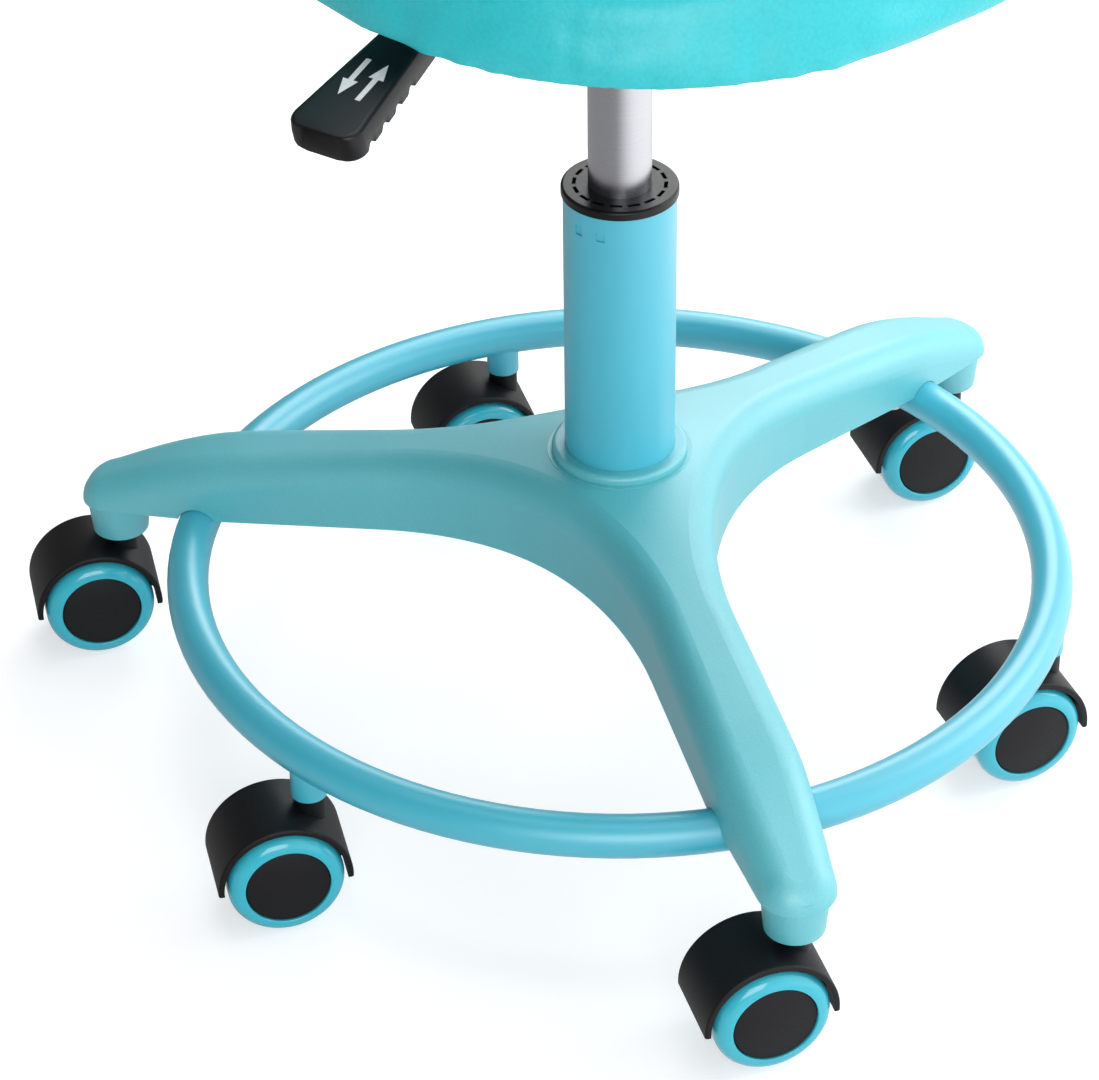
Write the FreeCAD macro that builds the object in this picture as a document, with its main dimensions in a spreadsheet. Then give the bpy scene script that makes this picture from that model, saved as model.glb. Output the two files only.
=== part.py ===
# Kids desk chair: three-spoke moulded base with a foot ring, six twin-wheel casters,
# a short gas lift, a padded seat with a lift lever, and a padded back on a bent bar.
# Millimetres. Origin on the floor under the lift column, +Z up, the sitter faces -Y.
import FreeCAD
import Part
import Sketcher
import math
import operator
import os
from types import SimpleNamespace

SIZES = {
    # casters: twin 50 mm wheels on an 11 x 22 mm stem
    "wheel_radius": 26.0,
    "wheel_inner": 4.2,
    "wheel_outer": 17.6,
    "hub_radius": 18.9,
    "hub_wall": 2.4,
    "hub_disc": 2.5,
    "hub_boss_radius": 6.5,
    "hub_bevel": 1.0,
    "tyre_inset": -0.5,
    "tyre_step": 1.0,
    "tyre_outer_round": 4.9,
    "tyre_inner_round": 2.0,
    "tyre_lip_round": 2.0,
    "tyre_seat_gap": 0.04,
    "axle_radius": 3.0,
    "axle_half": 13.5,
    "axle_end_room": 0.6,
    "caster_trail": 15.0,
    "hood_radius": 30.0,
    "hood_wall": 2.6,
    "hood_half_width": 18.8,
    "hood_web_half": 3.6,
    "hood_tip_drop": 1.5,
    "hood_edge_round": 1.2,
    "neck_radius": 7.0,
    "neck_top": 60.0,
    "spigot_radius": 3.0,
    "spigot_length": 19.0,
    "stem_radius": 5.5,
    "stem_length": 22.0,
    "stem_groove_up": 13.0,
    "stem_groove_width": 2.0,
    "stem_groove_depth": 0.8,
    "stem_chamfer": 1.0,
    # gaps between pieces
    "running": 0.05,
    "swivel_gap": 0.4,
    "fixed_gap": 0.1,
    "soft_gap": 0.3,
    # foot ring and its welded caster sockets
    "ring_height": 80.0,
    "ring_radius": 200.0,
    "ring_tube_radius": 9.5,
    "ring_wall": 1.5,
    "ring_notch_gap": 0.3,
    "socket_radius": 8.0,
    "socket_top": 83.0,
    "ring_screw_radius": 2.4,
    "ring_screw_length": 32.0,
    "ring_screw_head_radius": 4.5,
    "ring_screw_head": 3.4,
    # moulded base
    "spoke_azimuth": 7.3,
    "boss_reach": 245.0,
    "spoke_half_width": 18.0,
    "spoke_belly_reach": 195.0,
    "spoke_belly_half": 20.8,
    "spoke_belly_round": 150.0,
    "spoke_tip_half": 16.2,
    "spoke_tip_round": 15.4,
    "spoke_floor": 55.0,
    "spoke_blend": 165.0,
    "spoke_edge_round": 13.5,
    "spoke_end": 261.0,
    "spoke_bend_reach": 205.0,
    "spoke_bend_height": 113.0,
    "spoke_bend_round": 233.0,
    "spoke_nose_height": 86.0,
    "spoke_foot_height": 78.5,
    "hub_skirt_height": 102.5,
    "hub_shoulder_height": 142.0,
    "collar_radius": 31.0,
    "collar_top": 146.0,
    "collar_round": 2.0,
    "base_wall": 3.6,
    "barrel_radius": 33.0,
    "barrel_bottom": 88.0,
    "boss_top_radius": 15.4,
    "boss_bottom_radius": 13.2,
    "boss_core_radius": 11.0,
    "rib_thickness": 3.0,
    "rib_bottom": 94.0,
    "ring_pad_radius": 7.0,
    # lift column
    "column_radius": 25.0,
    "column_wall": 1.5,
    "column_bottom": 90.0,
    "column_top": 277.0,
    "column_floor": 3.0,
    "column_taper": 0.8,
    "column_floor_hole": 4.2,
    "bush_flange": 4.0,
    "bush_flange_over": 0.9,
    "bush_flange_round": 1.2,
    "bush_guide": 22.0,
    "bush_sleeve": 55.0,
    "bush_sleeve_wall": 3.0,
    "bush_slot_radius": 20.0,
    "bush_slot_length": 5.6,
    "bush_slot_width": 1.7,
    "bush_slot_depth": 2.5,
    "bush_slot_count": 16.0,
    "lance_width": 4.0,
    "lance_height": 4.5,
    "lance_down": 12.0,
    "lance_depth": 0.8,
    "lance_azimuth": -176.0,
    "lance_step": 26.0,
    # gas spring
    "rod_radius": 5.0,
    "rod_stub_radius": 4.0,
    "rod_stub_drop": 4.0,
    "rod_top": 228.5,
    "piston_height": 10.0,
    "chamber_radius": 11.5,
    "cylinder_radius": 14.0,
    "cylinder_bottom": 210.0,
    "cylinder_end": 8.0,
    "cylinder_cap": 12.0,
    "cylinder_top": 416.0,
    "cylinder_top_radius": 13.2,
    "pin_radius": 4.0,
    "pin_stand": 4.5,
    "pin_length": 24.0,
    "washer_radius": 9.0,
    "washer_thickness": 1.5,
    "washer_hole": 4.6,
    "ball_radius": 2.0,
    "ball_circle": 6.9,
    "ball_count": 8.0,
    "clip_radius": 7.0,
    "clip_thickness": 1.2,
    "buffer_radius": 11.0,
    "buffer_height": 9.0,
    # seat plate
    "seat_base": 434.5,
    "plate_width": 160.0,
    "plate_depth": 170.0,
    "plate_corner": 16.0,
    "plate_thickness": 2.5,
    "pan_width": 112.0,
    "pan_depth": 86.0,
    "pan_corner": 12.0,
    "pan_drop": 36.0,
    "cone_bottom": 384.0,
    "cone_wall": 3.0,
    "plate_screw_x": 66.0,
    "plate_screw_y": 70.0,
    "ear_thickness": 3.0,
    "ear_half_gap": 7.0,
    "ear_radius": 6.0,
    # seat and back pads
    "seat_width": 346.0,
    "seat_depth": 354.0,
    "seat_corner": 152.0,
    "seat_ahead": 20.0,
    "seat_thickness": 54.0,
    "seat_top_round": 24.0,
    "seat_bottom_round": 6.0,
    "seat_board_inset": 14.0,
    "seat_board_thickness": 10.0,
    "screw_radius": 3.0,
    "screw_head_radius": 5.5,
    "screw_head": 3.5,
    "screw_cover": 1.5,
    "bar_width": 46.0,
    "bar_thickness": 5.0,
    "bar_front": 88.0,
    "bar_bend_start": 150.0,
    "bar_bend_round": 30.0,
    "bar_length": 250.0,
    "bar_screw_first": 102.0,
    "bar_screw_step": 28.0,
    "back_lean": 9.0,
    "back_width": 330.0,
    "back_height": 275.0,
    "back_corner": 112.0,
    "back_start": 72.0,
    "back_thickness": 46.0,
    "back_front_round": 20.0,
    "back_rear_round": 8.0,
    "back_board_inset": 14.0,
    "back_board_thickness": 8.0,
    "back_screw_first": 130.0,
    "back_screw_step": 60.0,
    # lift lever
    "lever_azimuth": 198.5,
    "lever_height": 425.0,
    "lever_rod_radius": 4.0,
    "lever_inner_end": 6.0,
    "lever_pivot": 45.0,
    "lever_pivot_radius": 3.0,
    "lever_bend": 131.0,
    "lever_bend_round": 30.0,
    "lever_droop": 13.3,
    "lever_tail": 42.0,
    "lever_slot_room": 6.0,
    "paddle_start": 4.0,
    "paddle_length": 76.0,
    "paddle_root_half": 9.0,
    "paddle_tip_half": 16.5,
    "paddle_tip_round": 12.0,
    "paddle_thickness": 12.0,
    "paddle_edge_round": 2.0,
}

ACTIONS = {"+": operator.add, "-": operator.sub, "*": operator.mul, "/": operator.truediv}


class Size:
    """A length or angle that carries its value and the sheet expression behind it."""

    def __init__(self, value, text):
        self.value = float(value)
        self.text = text

    def __add__(self, other):
        return joined(self, "+", other)

    def __radd__(self, other):
        return joined(other, "+", self)

    def __sub__(self, other):
        return joined(self, "-", other)

    def __rsub__(self, other):
        return joined(other, "-", self)

    def __mul__(self, other):
        return joined(self, "*", other)

    def __rmul__(self, other):
        return joined(other, "*", self)

    def __truediv__(self, other):
        return joined(self, "/", other)

    def __neg__(self):
        return joined(0, "-", self)


def as_size(number):
    return number if isinstance(number, Size) else Size(number, repr(float(number)))


def joined(left, action, right):
    left = as_size(left)
    right = as_size(right)
    return Size(ACTIONS[action](left.value, right.value), f"({left.text} {action} {right.text})")


def sine(angle):
    angle = as_size(angle)
    return Size(math.sin(math.radians(angle.value)), f"sin({angle.text})")


def cosine(angle):
    angle = as_size(angle)
    return Size(math.cos(math.radians(angle.value)), f"cos({angle.text})")


def root(square):
    return Size(math.sqrt(square.value), f"sqrt({square.text})")


doc = FreeCAD.newDocument("kids_desk_chair")
sheet = doc.addObject("Spreadsheet::Sheet", "Sizes")
for row, (alias, number) in enumerate(SIZES.items(), start=1):
    sheet.set(f"A{row}", alias.replace("_", " "))
    sheet.set(f"B{row}", str(number))
    sheet.setAlias(f"B{row}", alias)
doc.recompute()
S = SimpleNamespace(**{alias: Size(number, f"Sizes.{alias}") for alias, number in SIZES.items()})

Vector = FreeCAD.Vector
UP = Vector(0, 0, 1)
pieces = []


# Sketches and features

def bind(thing, place, size):
    thing.setExpression(place, as_size(size).text)


def new_body(label):
    body = doc.addObject("PartDesign::Body", label)
    body.Label = label
    return body


def sketch_in(body, role, lift=0):
    plane = next(feature for feature in body.Origin.OriginFeatures if feature.Role == role)
    sketch = body.newObject("Sketcher::SketchObject", "Sketch")
    sketch.AttachmentSupport = (plane, [""])
    sketch.MapMode = "FlatFace"
    bind(sketch, "AttachmentOffset.Base.z", lift)
    return sketch


def loose_sketch(upright=False):
    """A sketch outside any body: on the floor plane, or upright with its height along +Z."""
    sketch = doc.addObject("Sketcher::SketchObject", "Sketch")
    if upright:
        sketch.Placement = FreeCAD.Placement(Vector(), FreeCAD.Rotation(Vector(1, 0, 0), 90))
    return sketch


def hold_point(sketch, curve, end, x, y):
    """Hold one end of a curve at x, y, measured from the sketch origin."""
    for axis, kind, size in ((-2, "DistanceX", x), (-1, "DistanceY", y)):
        size = as_size(size)
        if size.text == "0.0":
            sketch.addConstraint(Sketcher.Constraint("PointOnObject", curve, end, axis))
        else:
            number = sketch.addConstraint(Sketcher.Constraint(kind, -1, 1, curve, end, size.value))
            bind(sketch, f"Constraints[{number}]", size)


def towards(start, end):
    """The unit direction from one point to another."""
    across = as_size(end[0]) - start[0]
    along = as_size(end[1]) - start[1]
    length = root(across * across + along * along)
    return across / length, along / length


def round_corner(before, corner, after, radius):
    """The two points where an arc of this radius touches the runs that meet at a corner."""
    back = towards(corner, before)
    ahead = towards(corner, after)
    facing = back[0] * ahead[0] + back[1] * ahead[1]
    reach = radius * root((1 + facing) / (1 - facing))
    first = (corner[0] + back[0] * reach, corner[1] + back[1] * reach)
    last = (corner[0] + ahead[0] * reach, corner[1] + ahead[1] * reach)
    return first, last


def flat(point):
    return Vector(as_size(point[0]).value, as_size(point[1]).value, 0)


def arc_between(first, last, corner, radius):
    """The arc that rounds a corner, and whether it runs from first to last."""
    a = flat(first)
    b = flat(last)
    middle = (a + b) * 0.5
    inward = middle - flat(corner)
    half = (b - a).Length / 2
    depth = math.sqrt(max(radius.value ** 2 - half ** 2, 0))
    centre = middle + inward.normalize() * depth
    angle_a = math.atan2(a.y - centre.y, a.x - centre.x)
    angle_b = math.atan2(b.y - centre.y, b.x - centre.x)
    forward = math.sin(angle_b - angle_a) > 0
    start, stop = (angle_a, angle_b) if forward else (angle_b, angle_a)
    circle = Part.Circle(centre, UP, radius.value)
    return Part.ArcOfCircle(circle, start, stop), forward


def outline(sketch, corners):
    """A closed outline of straight runs; a third number rounds that corner by an arc."""
    count = len(corners)
    ends = []
    for index, corner in enumerate(corners):
        if len(corner) == 2:
            ends.append((corner, corner))
        else:
            before = corners[index - 1]
            after = corners[(index + 1) % count]
            ends.append(round_corner(before, corner, after, corner[2]))
    for index, corner in enumerate(corners):
        first, last = ends[index]
        if len(corner) == 3:
            radius = as_size(corner[2])
            arc, forward = arc_between(first, last, corner, radius)
            curve = sketch.addGeometry(arc, False)
            hold_point(sketch, curve, 1 if forward else 2, *first)
            hold_point(sketch, curve, 2 if forward else 1, *last)
            number = sketch.addConstraint(Sketcher.Constraint("Radius", curve, radius.value))
            bind(sketch, f"Constraints[{number}]", radius)
        target = ends[(index + 1) % count][0]
        line = sketch.addGeometry(Part.LineSegment(flat(last), flat(target)), False)
        hold_point(sketch, line, 1, *last)
        hold_point(sketch, line, 2, *target)


def rectangle(sketch, x, y, width, height, corner=None):
    """A rectangle about x, y; all four corners are rounded where a radius is given."""
    half_x = width / 2
    half_y = height / 2
    points = [(x - half_x, y - half_y), (x + half_x, y - half_y),
              (x + half_x, y + half_y), (x - half_x, y + half_y)]
    outline(sketch, [point + (corner,) if corner else point for point in points])


def circle(sketch, x, y, radius):
    ring = sketch.addGeometry(Part.Circle(flat((x, y)), UP, as_size(radius).value), False)
    hold_point(sketch, ring, 3, x, y)
    number = sketch.addConstraint(Sketcher.Constraint("Radius", ring, as_size(radius).value))
    bind(sketch, f"Constraints[{number}]", radius)


def feature(body, kind, sketch, length, symmetric=False, backwards=False):
    """A pad or pocket of a sketch."""
    made = body.newObject(f"PartDesign::{kind}", kind)
    made.Profile = sketch
    bind(made, "Length", length)
    made.Midplane = symmetric
    made.Reversed = backwards
    return made


def pad(body, sketch, length, **ways):
    return feature(body, "Pad", sketch, length, **ways)


def pocket(body, sketch, length, **ways):
    return feature(body, "Pocket", sketch, length, **ways)


def revolve(body, corners):
    """Turn an outline of (radius, height) corners about the body's own Z axis."""
    sketch = sketch_in(body, "XZ_Plane")
    outline(sketch, corners)
    made = body.newObject("PartDesign::Revolution", "Revolution")
    made.Profile = sketch
    made.ReferenceAxis = (sketch, ["V_Axis"])
    made.Angle = 360
    return made


def turned(label, corners):
    body = new_body(label)
    revolve(body, corners)
    return body


def round_edges(body, radius, chosen):
    """Fillet the edges of a body that a test picks out."""
    doc.recompute()
    names = [f"Edge{number}" for number, edge in enumerate(body.Shape.Edges, start=1) if chosen(edge)]
    fillet = body.newObject("PartDesign::Fillet", "Fillet")
    fillet.Base = (body.Group[-2], names)
    bind(fillet, "Radius", radius)
    doc.recompute()
    return fillet


def at_height(edge, height):
    box = edge.BoundBox
    return abs(box.ZMin - height.value) < 0.01 and abs(box.ZMax - height.value) < 0.01


def keep(thing):
    pieces.append(thing)
    return thing


def copy_of(master, label, placement):
    """One more of a repeated piece, at its own place."""
    copy = doc.addObject("App::Link", label)
    copy.LinkedObject = master
    copy.Label = label
    copy.Placement = placement
    return keep(copy)


def group_of(label, things):
    """Separate solids that share one node."""
    group = doc.addObject("Part::Compound", label)
    group.Label = label
    group.Links = things
    return group


def solid(kind, **sizes):
    """A primitive whose sizes are bound to the sheet."""
    made = doc.addObject(f"Part::{kind}", kind)
    for place, size in sizes.items():
        bind(made, place, size)
    return made


def raise_to(thing, x, y, z):
    bind(thing, "Placement.Base.x", x)
    bind(thing, "Placement.Base.y", y)
    bind(thing, "Placement.Base.z", z)
    return thing


def cut(base, tool):
    made = doc.addObject("Part::Cut", "Cut")
    made.Base = base
    made.Tool = tool
    return made


def common(base, tool):
    made = doc.addObject("Part::Common", "Common")
    made.Base = base
    made.Tool = tool
    return made


def fused(things):
    made = doc.addObject("Part::MultiFuse", "Fusion")
    made.Shapes = things
    return made


def polar(reach, azimuth):
    return reach * cosine(azimuth), reach * sine(azimuth)


def named(thing, label):
    thing.Label = label
    return keep(thing)


# Casters

def make_hub():
    """Wheel core: an open cup with a boss for the axle and a plain disc outside."""
    disc_back = S.wheel_outer - S.hub_disc
    open_edge = S.wheel_inner + S.tyre_step
    bore = S.axle_radius + S.running
    blind = S.axle_half + S.axle_end_room
    return turned("HubMaster", [
        (0, blind), (bore, blind), (bore, S.wheel_inner), (S.hub_boss_radius, S.wheel_inner),
        (S.hub_boss_radius, disc_back), (S.hub_radius - S.hub_wall, disc_back),
        (S.hub_radius - S.hub_wall, open_edge), (S.hub_radius, open_edge),
        (S.hub_radius, S.wheel_outer - S.hub_bevel),
        (S.hub_radius - S.hub_bevel, S.wheel_outer), (0, S.wheel_outer)])


def make_tyre():
    """Soft tread round the core, with a full outer shoulder."""
    inside = S.hub_radius + S.tyre_seat_gap
    low = S.wheel_inner + S.tyre_step
    high = S.wheel_outer - S.tyre_inset
    return turned("TyreMaster", [
        (inside, low), (S.wheel_radius, low, S.tyre_inner_round),
        (S.wheel_radius, high, S.tyre_outer_round), (inside, high, S.tyre_lip_round)])


def make_hood():
    """Hood over both wheels: a half drum with a web between the wheels and a stem neck."""
    body = new_body("HoodMaster")
    drum = sketch_in(body, "YZ_Plane")
    circle(drum, -S.caster_trail, S.wheel_radius, S.hood_radius)
    pad(body, drum, S.hood_half_width * 2, symmetric=True)
    round_edges(body, S.hood_edge_round, lambda edge: edge.isClosed())
    neck = sketch_in(body, "XY_Plane", S.wheel_radius)
    circle(neck, 0, 0, S.neck_radius)
    pad(body, neck, S.neck_top - S.wheel_radius)
    for backwards in (False, True):
        lift = -S.hood_web_half if backwards else S.hood_web_half
        hollow = sketch_in(body, "YZ_Plane", lift)
        circle(hollow, -S.caster_trail, S.wheel_radius, S.hood_radius - S.hood_wall)
        pocket(body, hollow, S.hood_half_width, backwards=not backwards)
    below = sketch_in(body, "YZ_Plane")
    span = S.hood_radius * 3
    rectangle(below, -S.caster_trail, S.wheel_radius - S.hood_tip_drop - span / 2, span, span)
    pocket(body, below, span, symmetric=True)
    axle = sketch_in(body, "YZ_Plane")
    circle(axle, -S.caster_trail, S.wheel_radius, S.axle_radius)
    pocket(body, axle, S.hood_half_width, symmetric=True)
    spigot = sketch_in(body, "XY_Plane", S.neck_top)
    circle(spigot, 0, 0, S.spigot_radius)
    pocket(body, spigot, S.spigot_length)
    return body


def make_pins():
    """Steel pins of one caster: the stem that swivels in the base, and the wheel axle."""
    low = S.neck_top - S.spigot_length
    top = S.neck_top + S.stem_length
    groove = S.neck_top + S.stem_groove_up
    waist = S.stem_radius - S.stem_groove_depth
    stem = turned("StemMaster", [
        (0, low), (S.spigot_radius, low), (S.spigot_radius, S.neck_top), (S.stem_radius, S.neck_top),
        (S.stem_radius, groove), (waist, groove), (waist, groove + S.stem_groove_width),
        (S.stem_radius, groove + S.stem_groove_width), (S.stem_radius, top - S.stem_chamfer),
        (S.stem_radius - S.stem_chamfer, top), (0, top)])
    axle = solid("Cylinder", Radius=S.axle_radius, Height=S.axle_half * 2)
    axle.Placement = FreeCAD.Placement(Vector(), FreeCAD.Rotation(Vector(0, 1, 0), 90))
    raise_to(axle, -S.axle_half, -S.caster_trail, S.wheel_radius)
    return group_of("PinsMaster", [stem, axle])


def make_casters():
    """Six casters, three under the spokes and three under the ring between them."""
    hood = make_hood()
    pins = make_pins()
    hub = make_hub()
    tyre = make_tyre()
    doc.recompute()
    axle_at = Vector(0, -S.caster_trail.value, S.wheel_radius.value)
    sides = {"a": FreeCAD.Rotation(Vector(0, 1, 0), 90), "b": FreeCAD.Rotation(Vector(0, 1, 0), -90)}
    for number, (reach, azimuth, facing) in enumerate(CASTERS, start=1):
        x, y = polar(reach, azimuth)
        place = FreeCAD.Placement(Vector(x.value, y.value, 0), FreeCAD.Rotation(UP, facing))
        copy_of(hood, f"caster_{number}_hood", place)
        copy_of(pins, f"caster_{number}_pins", place)
        for side, turn in sides.items():
            wheel = place * FreeCAD.Placement(axle_at, turn)
            copy_of(hub, f"caster_{number}_hub_{side}", wheel)
            copy_of(tyre, f"caster_{number}_tyre_{side}", wheel)


# where each caster stands, and the way its outer wheel face looks in the rest pose
SPOKE_FACINGS = (-111.3, -116.2, -112.5)
RING_FACINGS = (-113.0, -115.6, -108.8)
CASTERS = []
for turn in range(3):
    CASTERS.append((S.boss_reach, S.spoke_azimuth + 120 * turn, SPOKE_FACINGS[turn]))
for turn in range(3):
    CASTERS.append((S.ring_radius, S.spoke_azimuth + 60 + 120 * turn, RING_FACINGS[turn]))
SPOKES = [S.spoke_azimuth + 120 * turn for turn in range(3)]


# Foot ring

def make_ring():
    """Bent steel tube, drilled below for the caster sockets and through for the screws."""
    tube = solid("Torus", Radius1=S.ring_radius, Radius2=S.ring_tube_radius)
    bore = solid("Torus", Radius1=S.ring_radius, Radius2=S.ring_tube_radius - S.ring_wall)
    drills = []
    for azimuth in SPOKES:
        bore_radius = S.ring_screw_radius + S.ring_notch_gap
        hole = solid("Cylinder", Radius=bore_radius, Height=S.ring_tube_radius * 4)
        drills.append(raise_to(hole, *polar(S.ring_radius, azimuth), -S.ring_tube_radius * 2))
        depth = S.ring_tube_radius * 2 + S.socket_top - S.ring_height + S.ring_notch_gap
        hole = solid("Cylinder", Radius=S.socket_radius + S.ring_notch_gap, Height=depth)
        drills.append(raise_to(hole, *polar(S.ring_radius, azimuth + 60), -S.ring_tube_radius * 2))
    ring = cut(cut(tube, bore), fused(drills))
    bind(ring, "Placement.Base.z", S.ring_height)
    named(ring, "foot_ring")

    bottom = S.neck_top + S.swivel_gap
    stub = turned("SocketMaster", [
        (S.stem_radius + S.running, bottom), (S.socket_radius, bottom),
        (S.socket_radius, S.socket_top), (S.stem_radius + S.running, S.socket_top)])
    doc.recompute()
    stubs = []
    for azimuth in SPOKES:
        x, y = polar(S.ring_radius, azimuth + 60)
        copy = doc.addObject("App::Link", "Socket")
        copy.LinkedObject = stub
        copy.Placement = FreeCAD.Placement(Vector(x.value, y.value, 0), FreeCAD.Rotation())
        stubs.append(copy)
    keep(group_of("ring_caster_sockets", stubs))

    under = S.ring_height - S.ring_tube_radius - S.fixed_gap
    screw = turned("RingScrewMaster", [
        (0, under - S.ring_screw_head), (S.ring_screw_head_radius, under - S.ring_screw_head),
        (S.ring_screw_head_radius, under), (S.ring_screw_radius, under),
        (S.ring_screw_radius, under + S.ring_screw_length), (0, under + S.ring_screw_length)])
    doc.recompute()
    screws = []
    for azimuth in SPOKES:
        x, y = polar(S.ring_radius, azimuth)
        copy = doc.addObject("App::Link", "RingScrew")
        copy.LinkedObject = screw
        copy.Placement = FreeCAD.Placement(Vector(x.value, y.value, 0), FreeCAD.Rotation())
        screws.append(copy)
    keep(group_of("ring_screws", screws))


# Moulded base

def star(wall, blend):
    """Plan of the three spokes, drawn in by a wall and blended by wide arcs, as a tall prism."""
    corners = []
    for azimuth in SPOKES:
        belly = S.spoke_belly_half - wall
        tip = S.spoke_tip_half - wall
        for reach, half, radius in ((S.spoke_belly_reach, -belly, S.spoke_belly_round),
                                    (S.spoke_end - wall, -tip, S.spoke_tip_round - wall),
                                    (S.spoke_end - wall, tip, S.spoke_tip_round - wall),
                                    (S.spoke_belly_reach, belly, S.spoke_belly_round)):
            along = polar(reach, azimuth)
            across = polar(half, azimuth + 90)
            corners.append((along[0] + across[0], along[1] + across[1], radius))
        inner = polar((S.spoke_half_width - wall) / sine(60), azimuth + 60)
        corners.append(inner + (blend,))
    sketch = loose_sketch()
    outline(sketch, corners)
    prism = doc.addObject("Part::Extrusion", "Star")
    prism.Base = sketch
    prism.DirMode = "Normal"
    prism.Solid = True
    bind(prism, "LengthFwd", S.collar_top * 2)
    return prism


def dome(corners):
    """A turned form whose upper and lower curves give the spokes their side view."""
    sketch = loose_sketch(upright=True)
    outline(sketch, corners)
    form = doc.addObject("Part::Revolution", "Dome")
    form.Source = sketch
    form.Axis = UP
    form.Angle = 360
    form.Solid = True
    return form


def rounded_along_top(form, radius):
    """Round the long edges where the spokes' sides meet their tops and noses."""
    doc.recompute()
    shape = form.Shape
    chosen = []
    for number, edge in enumerate(shape.Edges, start=1):
        faces = shape.ancestorsOfType(edge, Part.Face)
        upright = [is_side(face) for face in faces]
        middle = edge.valueAt((edge.FirstParameter + edge.LastParameter) / 2)
        underside = S.hub_skirt_height.value - slope_below() * math.hypot(middle.x, middle.y)
        if sorted(upright) == [False, True] and middle.z > underside + 0.1:
            chosen.append((number, radius.value, radius.value))
    fillet = doc.addObject("Part::Fillet", "Rounded")
    fillet.Base = form
    fillet.Edges = chosen
    doc.recompute()
    return fillet


def slope_below():
    return (S.hub_skirt_height.value - S.spoke_foot_height.value) / S.spoke_end.value


def is_side(face):
    """Whether a face is one of the upright walls cut by the star's plan."""
    surface = face.Surface
    if isinstance(surface, Part.Plane):
        return abs(surface.Axis.z) < 0.01
    if isinstance(surface, Part.Cylinder):
        return math.hypot(surface.Center.x, surface.Center.y) > 1
    return False


def make_spider():
    """Nylon base: three hollow spokes, a tapered barrel for the column and caster bosses."""
    wall = S.base_wall
    past = S.spoke_end + wall
    outer_dome = dome([
        (0, S.spoke_floor), (past, S.spoke_floor), (past, S.spoke_nose_height),
        (S.spoke_bend_reach, S.spoke_bend_height, S.spoke_bend_round),
        (S.collar_radius, S.hub_shoulder_height), (0, S.hub_shoulder_height)])
    outer = rounded_along_top(common(star(as_size(0), S.spoke_blend), outer_dome), S.spoke_edge_round)
    inner_dome = dome([
        (S.barrel_radius - wall, S.spoke_floor), (past, S.spoke_floor), (past, S.spoke_nose_height - wall),
        (S.spoke_bend_reach, S.spoke_bend_height - wall, S.spoke_bend_round),
        (S.barrel_radius - wall, S.hub_shoulder_height - wall)])
    hollow = common(star(wall, S.spoke_blend + wall), inner_dome)
    inner = rounded_along_top(hollow, S.spoke_edge_round - wall)
    rim = S.spoke_end * 2
    underside = dome([
        (0, 0), (rim, 0), (rim, S.spoke_foot_height * 2 - S.hub_skirt_height), (0, S.hub_skirt_height)])
    ribs = []
    bosses = []
    bores = []
    for azimuth in SPOKES:
        rib = solid("Box", Length=S.boss_reach, Width=S.rib_thickness, Height=S.collar_top - S.rib_bottom)
        x, y = polar(S.rib_thickness / 2, azimuth - 90)
        raise_to(rib, x, y, S.rib_bottom)
        bind(rib, "Placement.Rotation.Angle", azimuth)
        ribs.append(rib)
        core = solid("Cylinder", Radius=S.boss_core_radius, Height=S.collar_top - S.ring_height)
        ribs.append(raise_to(core, *polar(S.boss_reach, azimuth), S.ring_height))
        ring_pad = solid("Cylinder", Radius=S.ring_pad_radius, Height=S.collar_top - S.ring_height)
        ribs.append(raise_to(ring_pad, *polar(S.ring_radius, azimuth), S.ring_height))
        bottom = S.neck_top + S.swivel_gap
        boss = solid("Cone", Radius1=S.boss_bottom_radius, Radius2=S.boss_top_radius,
                     Height=S.ring_height + wall - bottom)
        bosses.append(raise_to(boss, *polar(S.boss_reach, azimuth), bottom))
        bore = solid("Cylinder", Radius=S.stem_radius + S.running, Height=S.socket_top - bottom + 1)
        bores.append(raise_to(bore, *polar(S.boss_reach, azimuth), bottom - 1))
        pilot = solid("Cylinder", Radius=S.ring_screw_radius + S.fixed_gap,
                      Height=S.ring_screw_length)
        bores.append(raise_to(pilot, *polar(S.ring_radius, azimuth), S.ring_height - S.ring_tube_radius))
    fittings = common(inner, fused(ribs))
    barrel = solid("Cylinder", Radius=S.barrel_radius, Height=S.hub_shoulder_height - S.barrel_bottom)
    bind(barrel, "Placement.Base.z", S.barrel_bottom)
    collar = turned("CollarMaster", [
        (0, S.hub_shoulder_height - wall), (S.collar_radius, S.hub_shoulder_height - wall),
        (S.collar_radius, S.collar_top, S.collar_round), (0, S.collar_top)])
    notch = solid("Torus", Radius1=S.ring_radius, Radius2=S.ring_tube_radius + S.ring_notch_gap)
    bind(notch, "Placement.Base.z", S.ring_height)
    taper = solid("Cone", Radius1=S.column_radius - S.column_taper + S.fixed_gap,
                  Radius2=S.column_radius + S.fixed_gap, Height=S.collar_top - S.column_bottom)
    bind(taper, "Placement.Base.z", S.column_bottom)
    mouth = solid("Cylinder", Radius=S.column_radius - S.column_taper + S.fixed_gap,
                  Height=S.column_bottom - S.barrel_bottom)
    bind(mouth, "Placement.Base.z", S.barrel_bottom)
    body = fused([cut(cut(outer, underside), inner), fittings, barrel, collar] + bosses)
    named(cut(body, fused([notch, taper, mouth] + bores)), "base_spider")


# Lift column and gas spring

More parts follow.
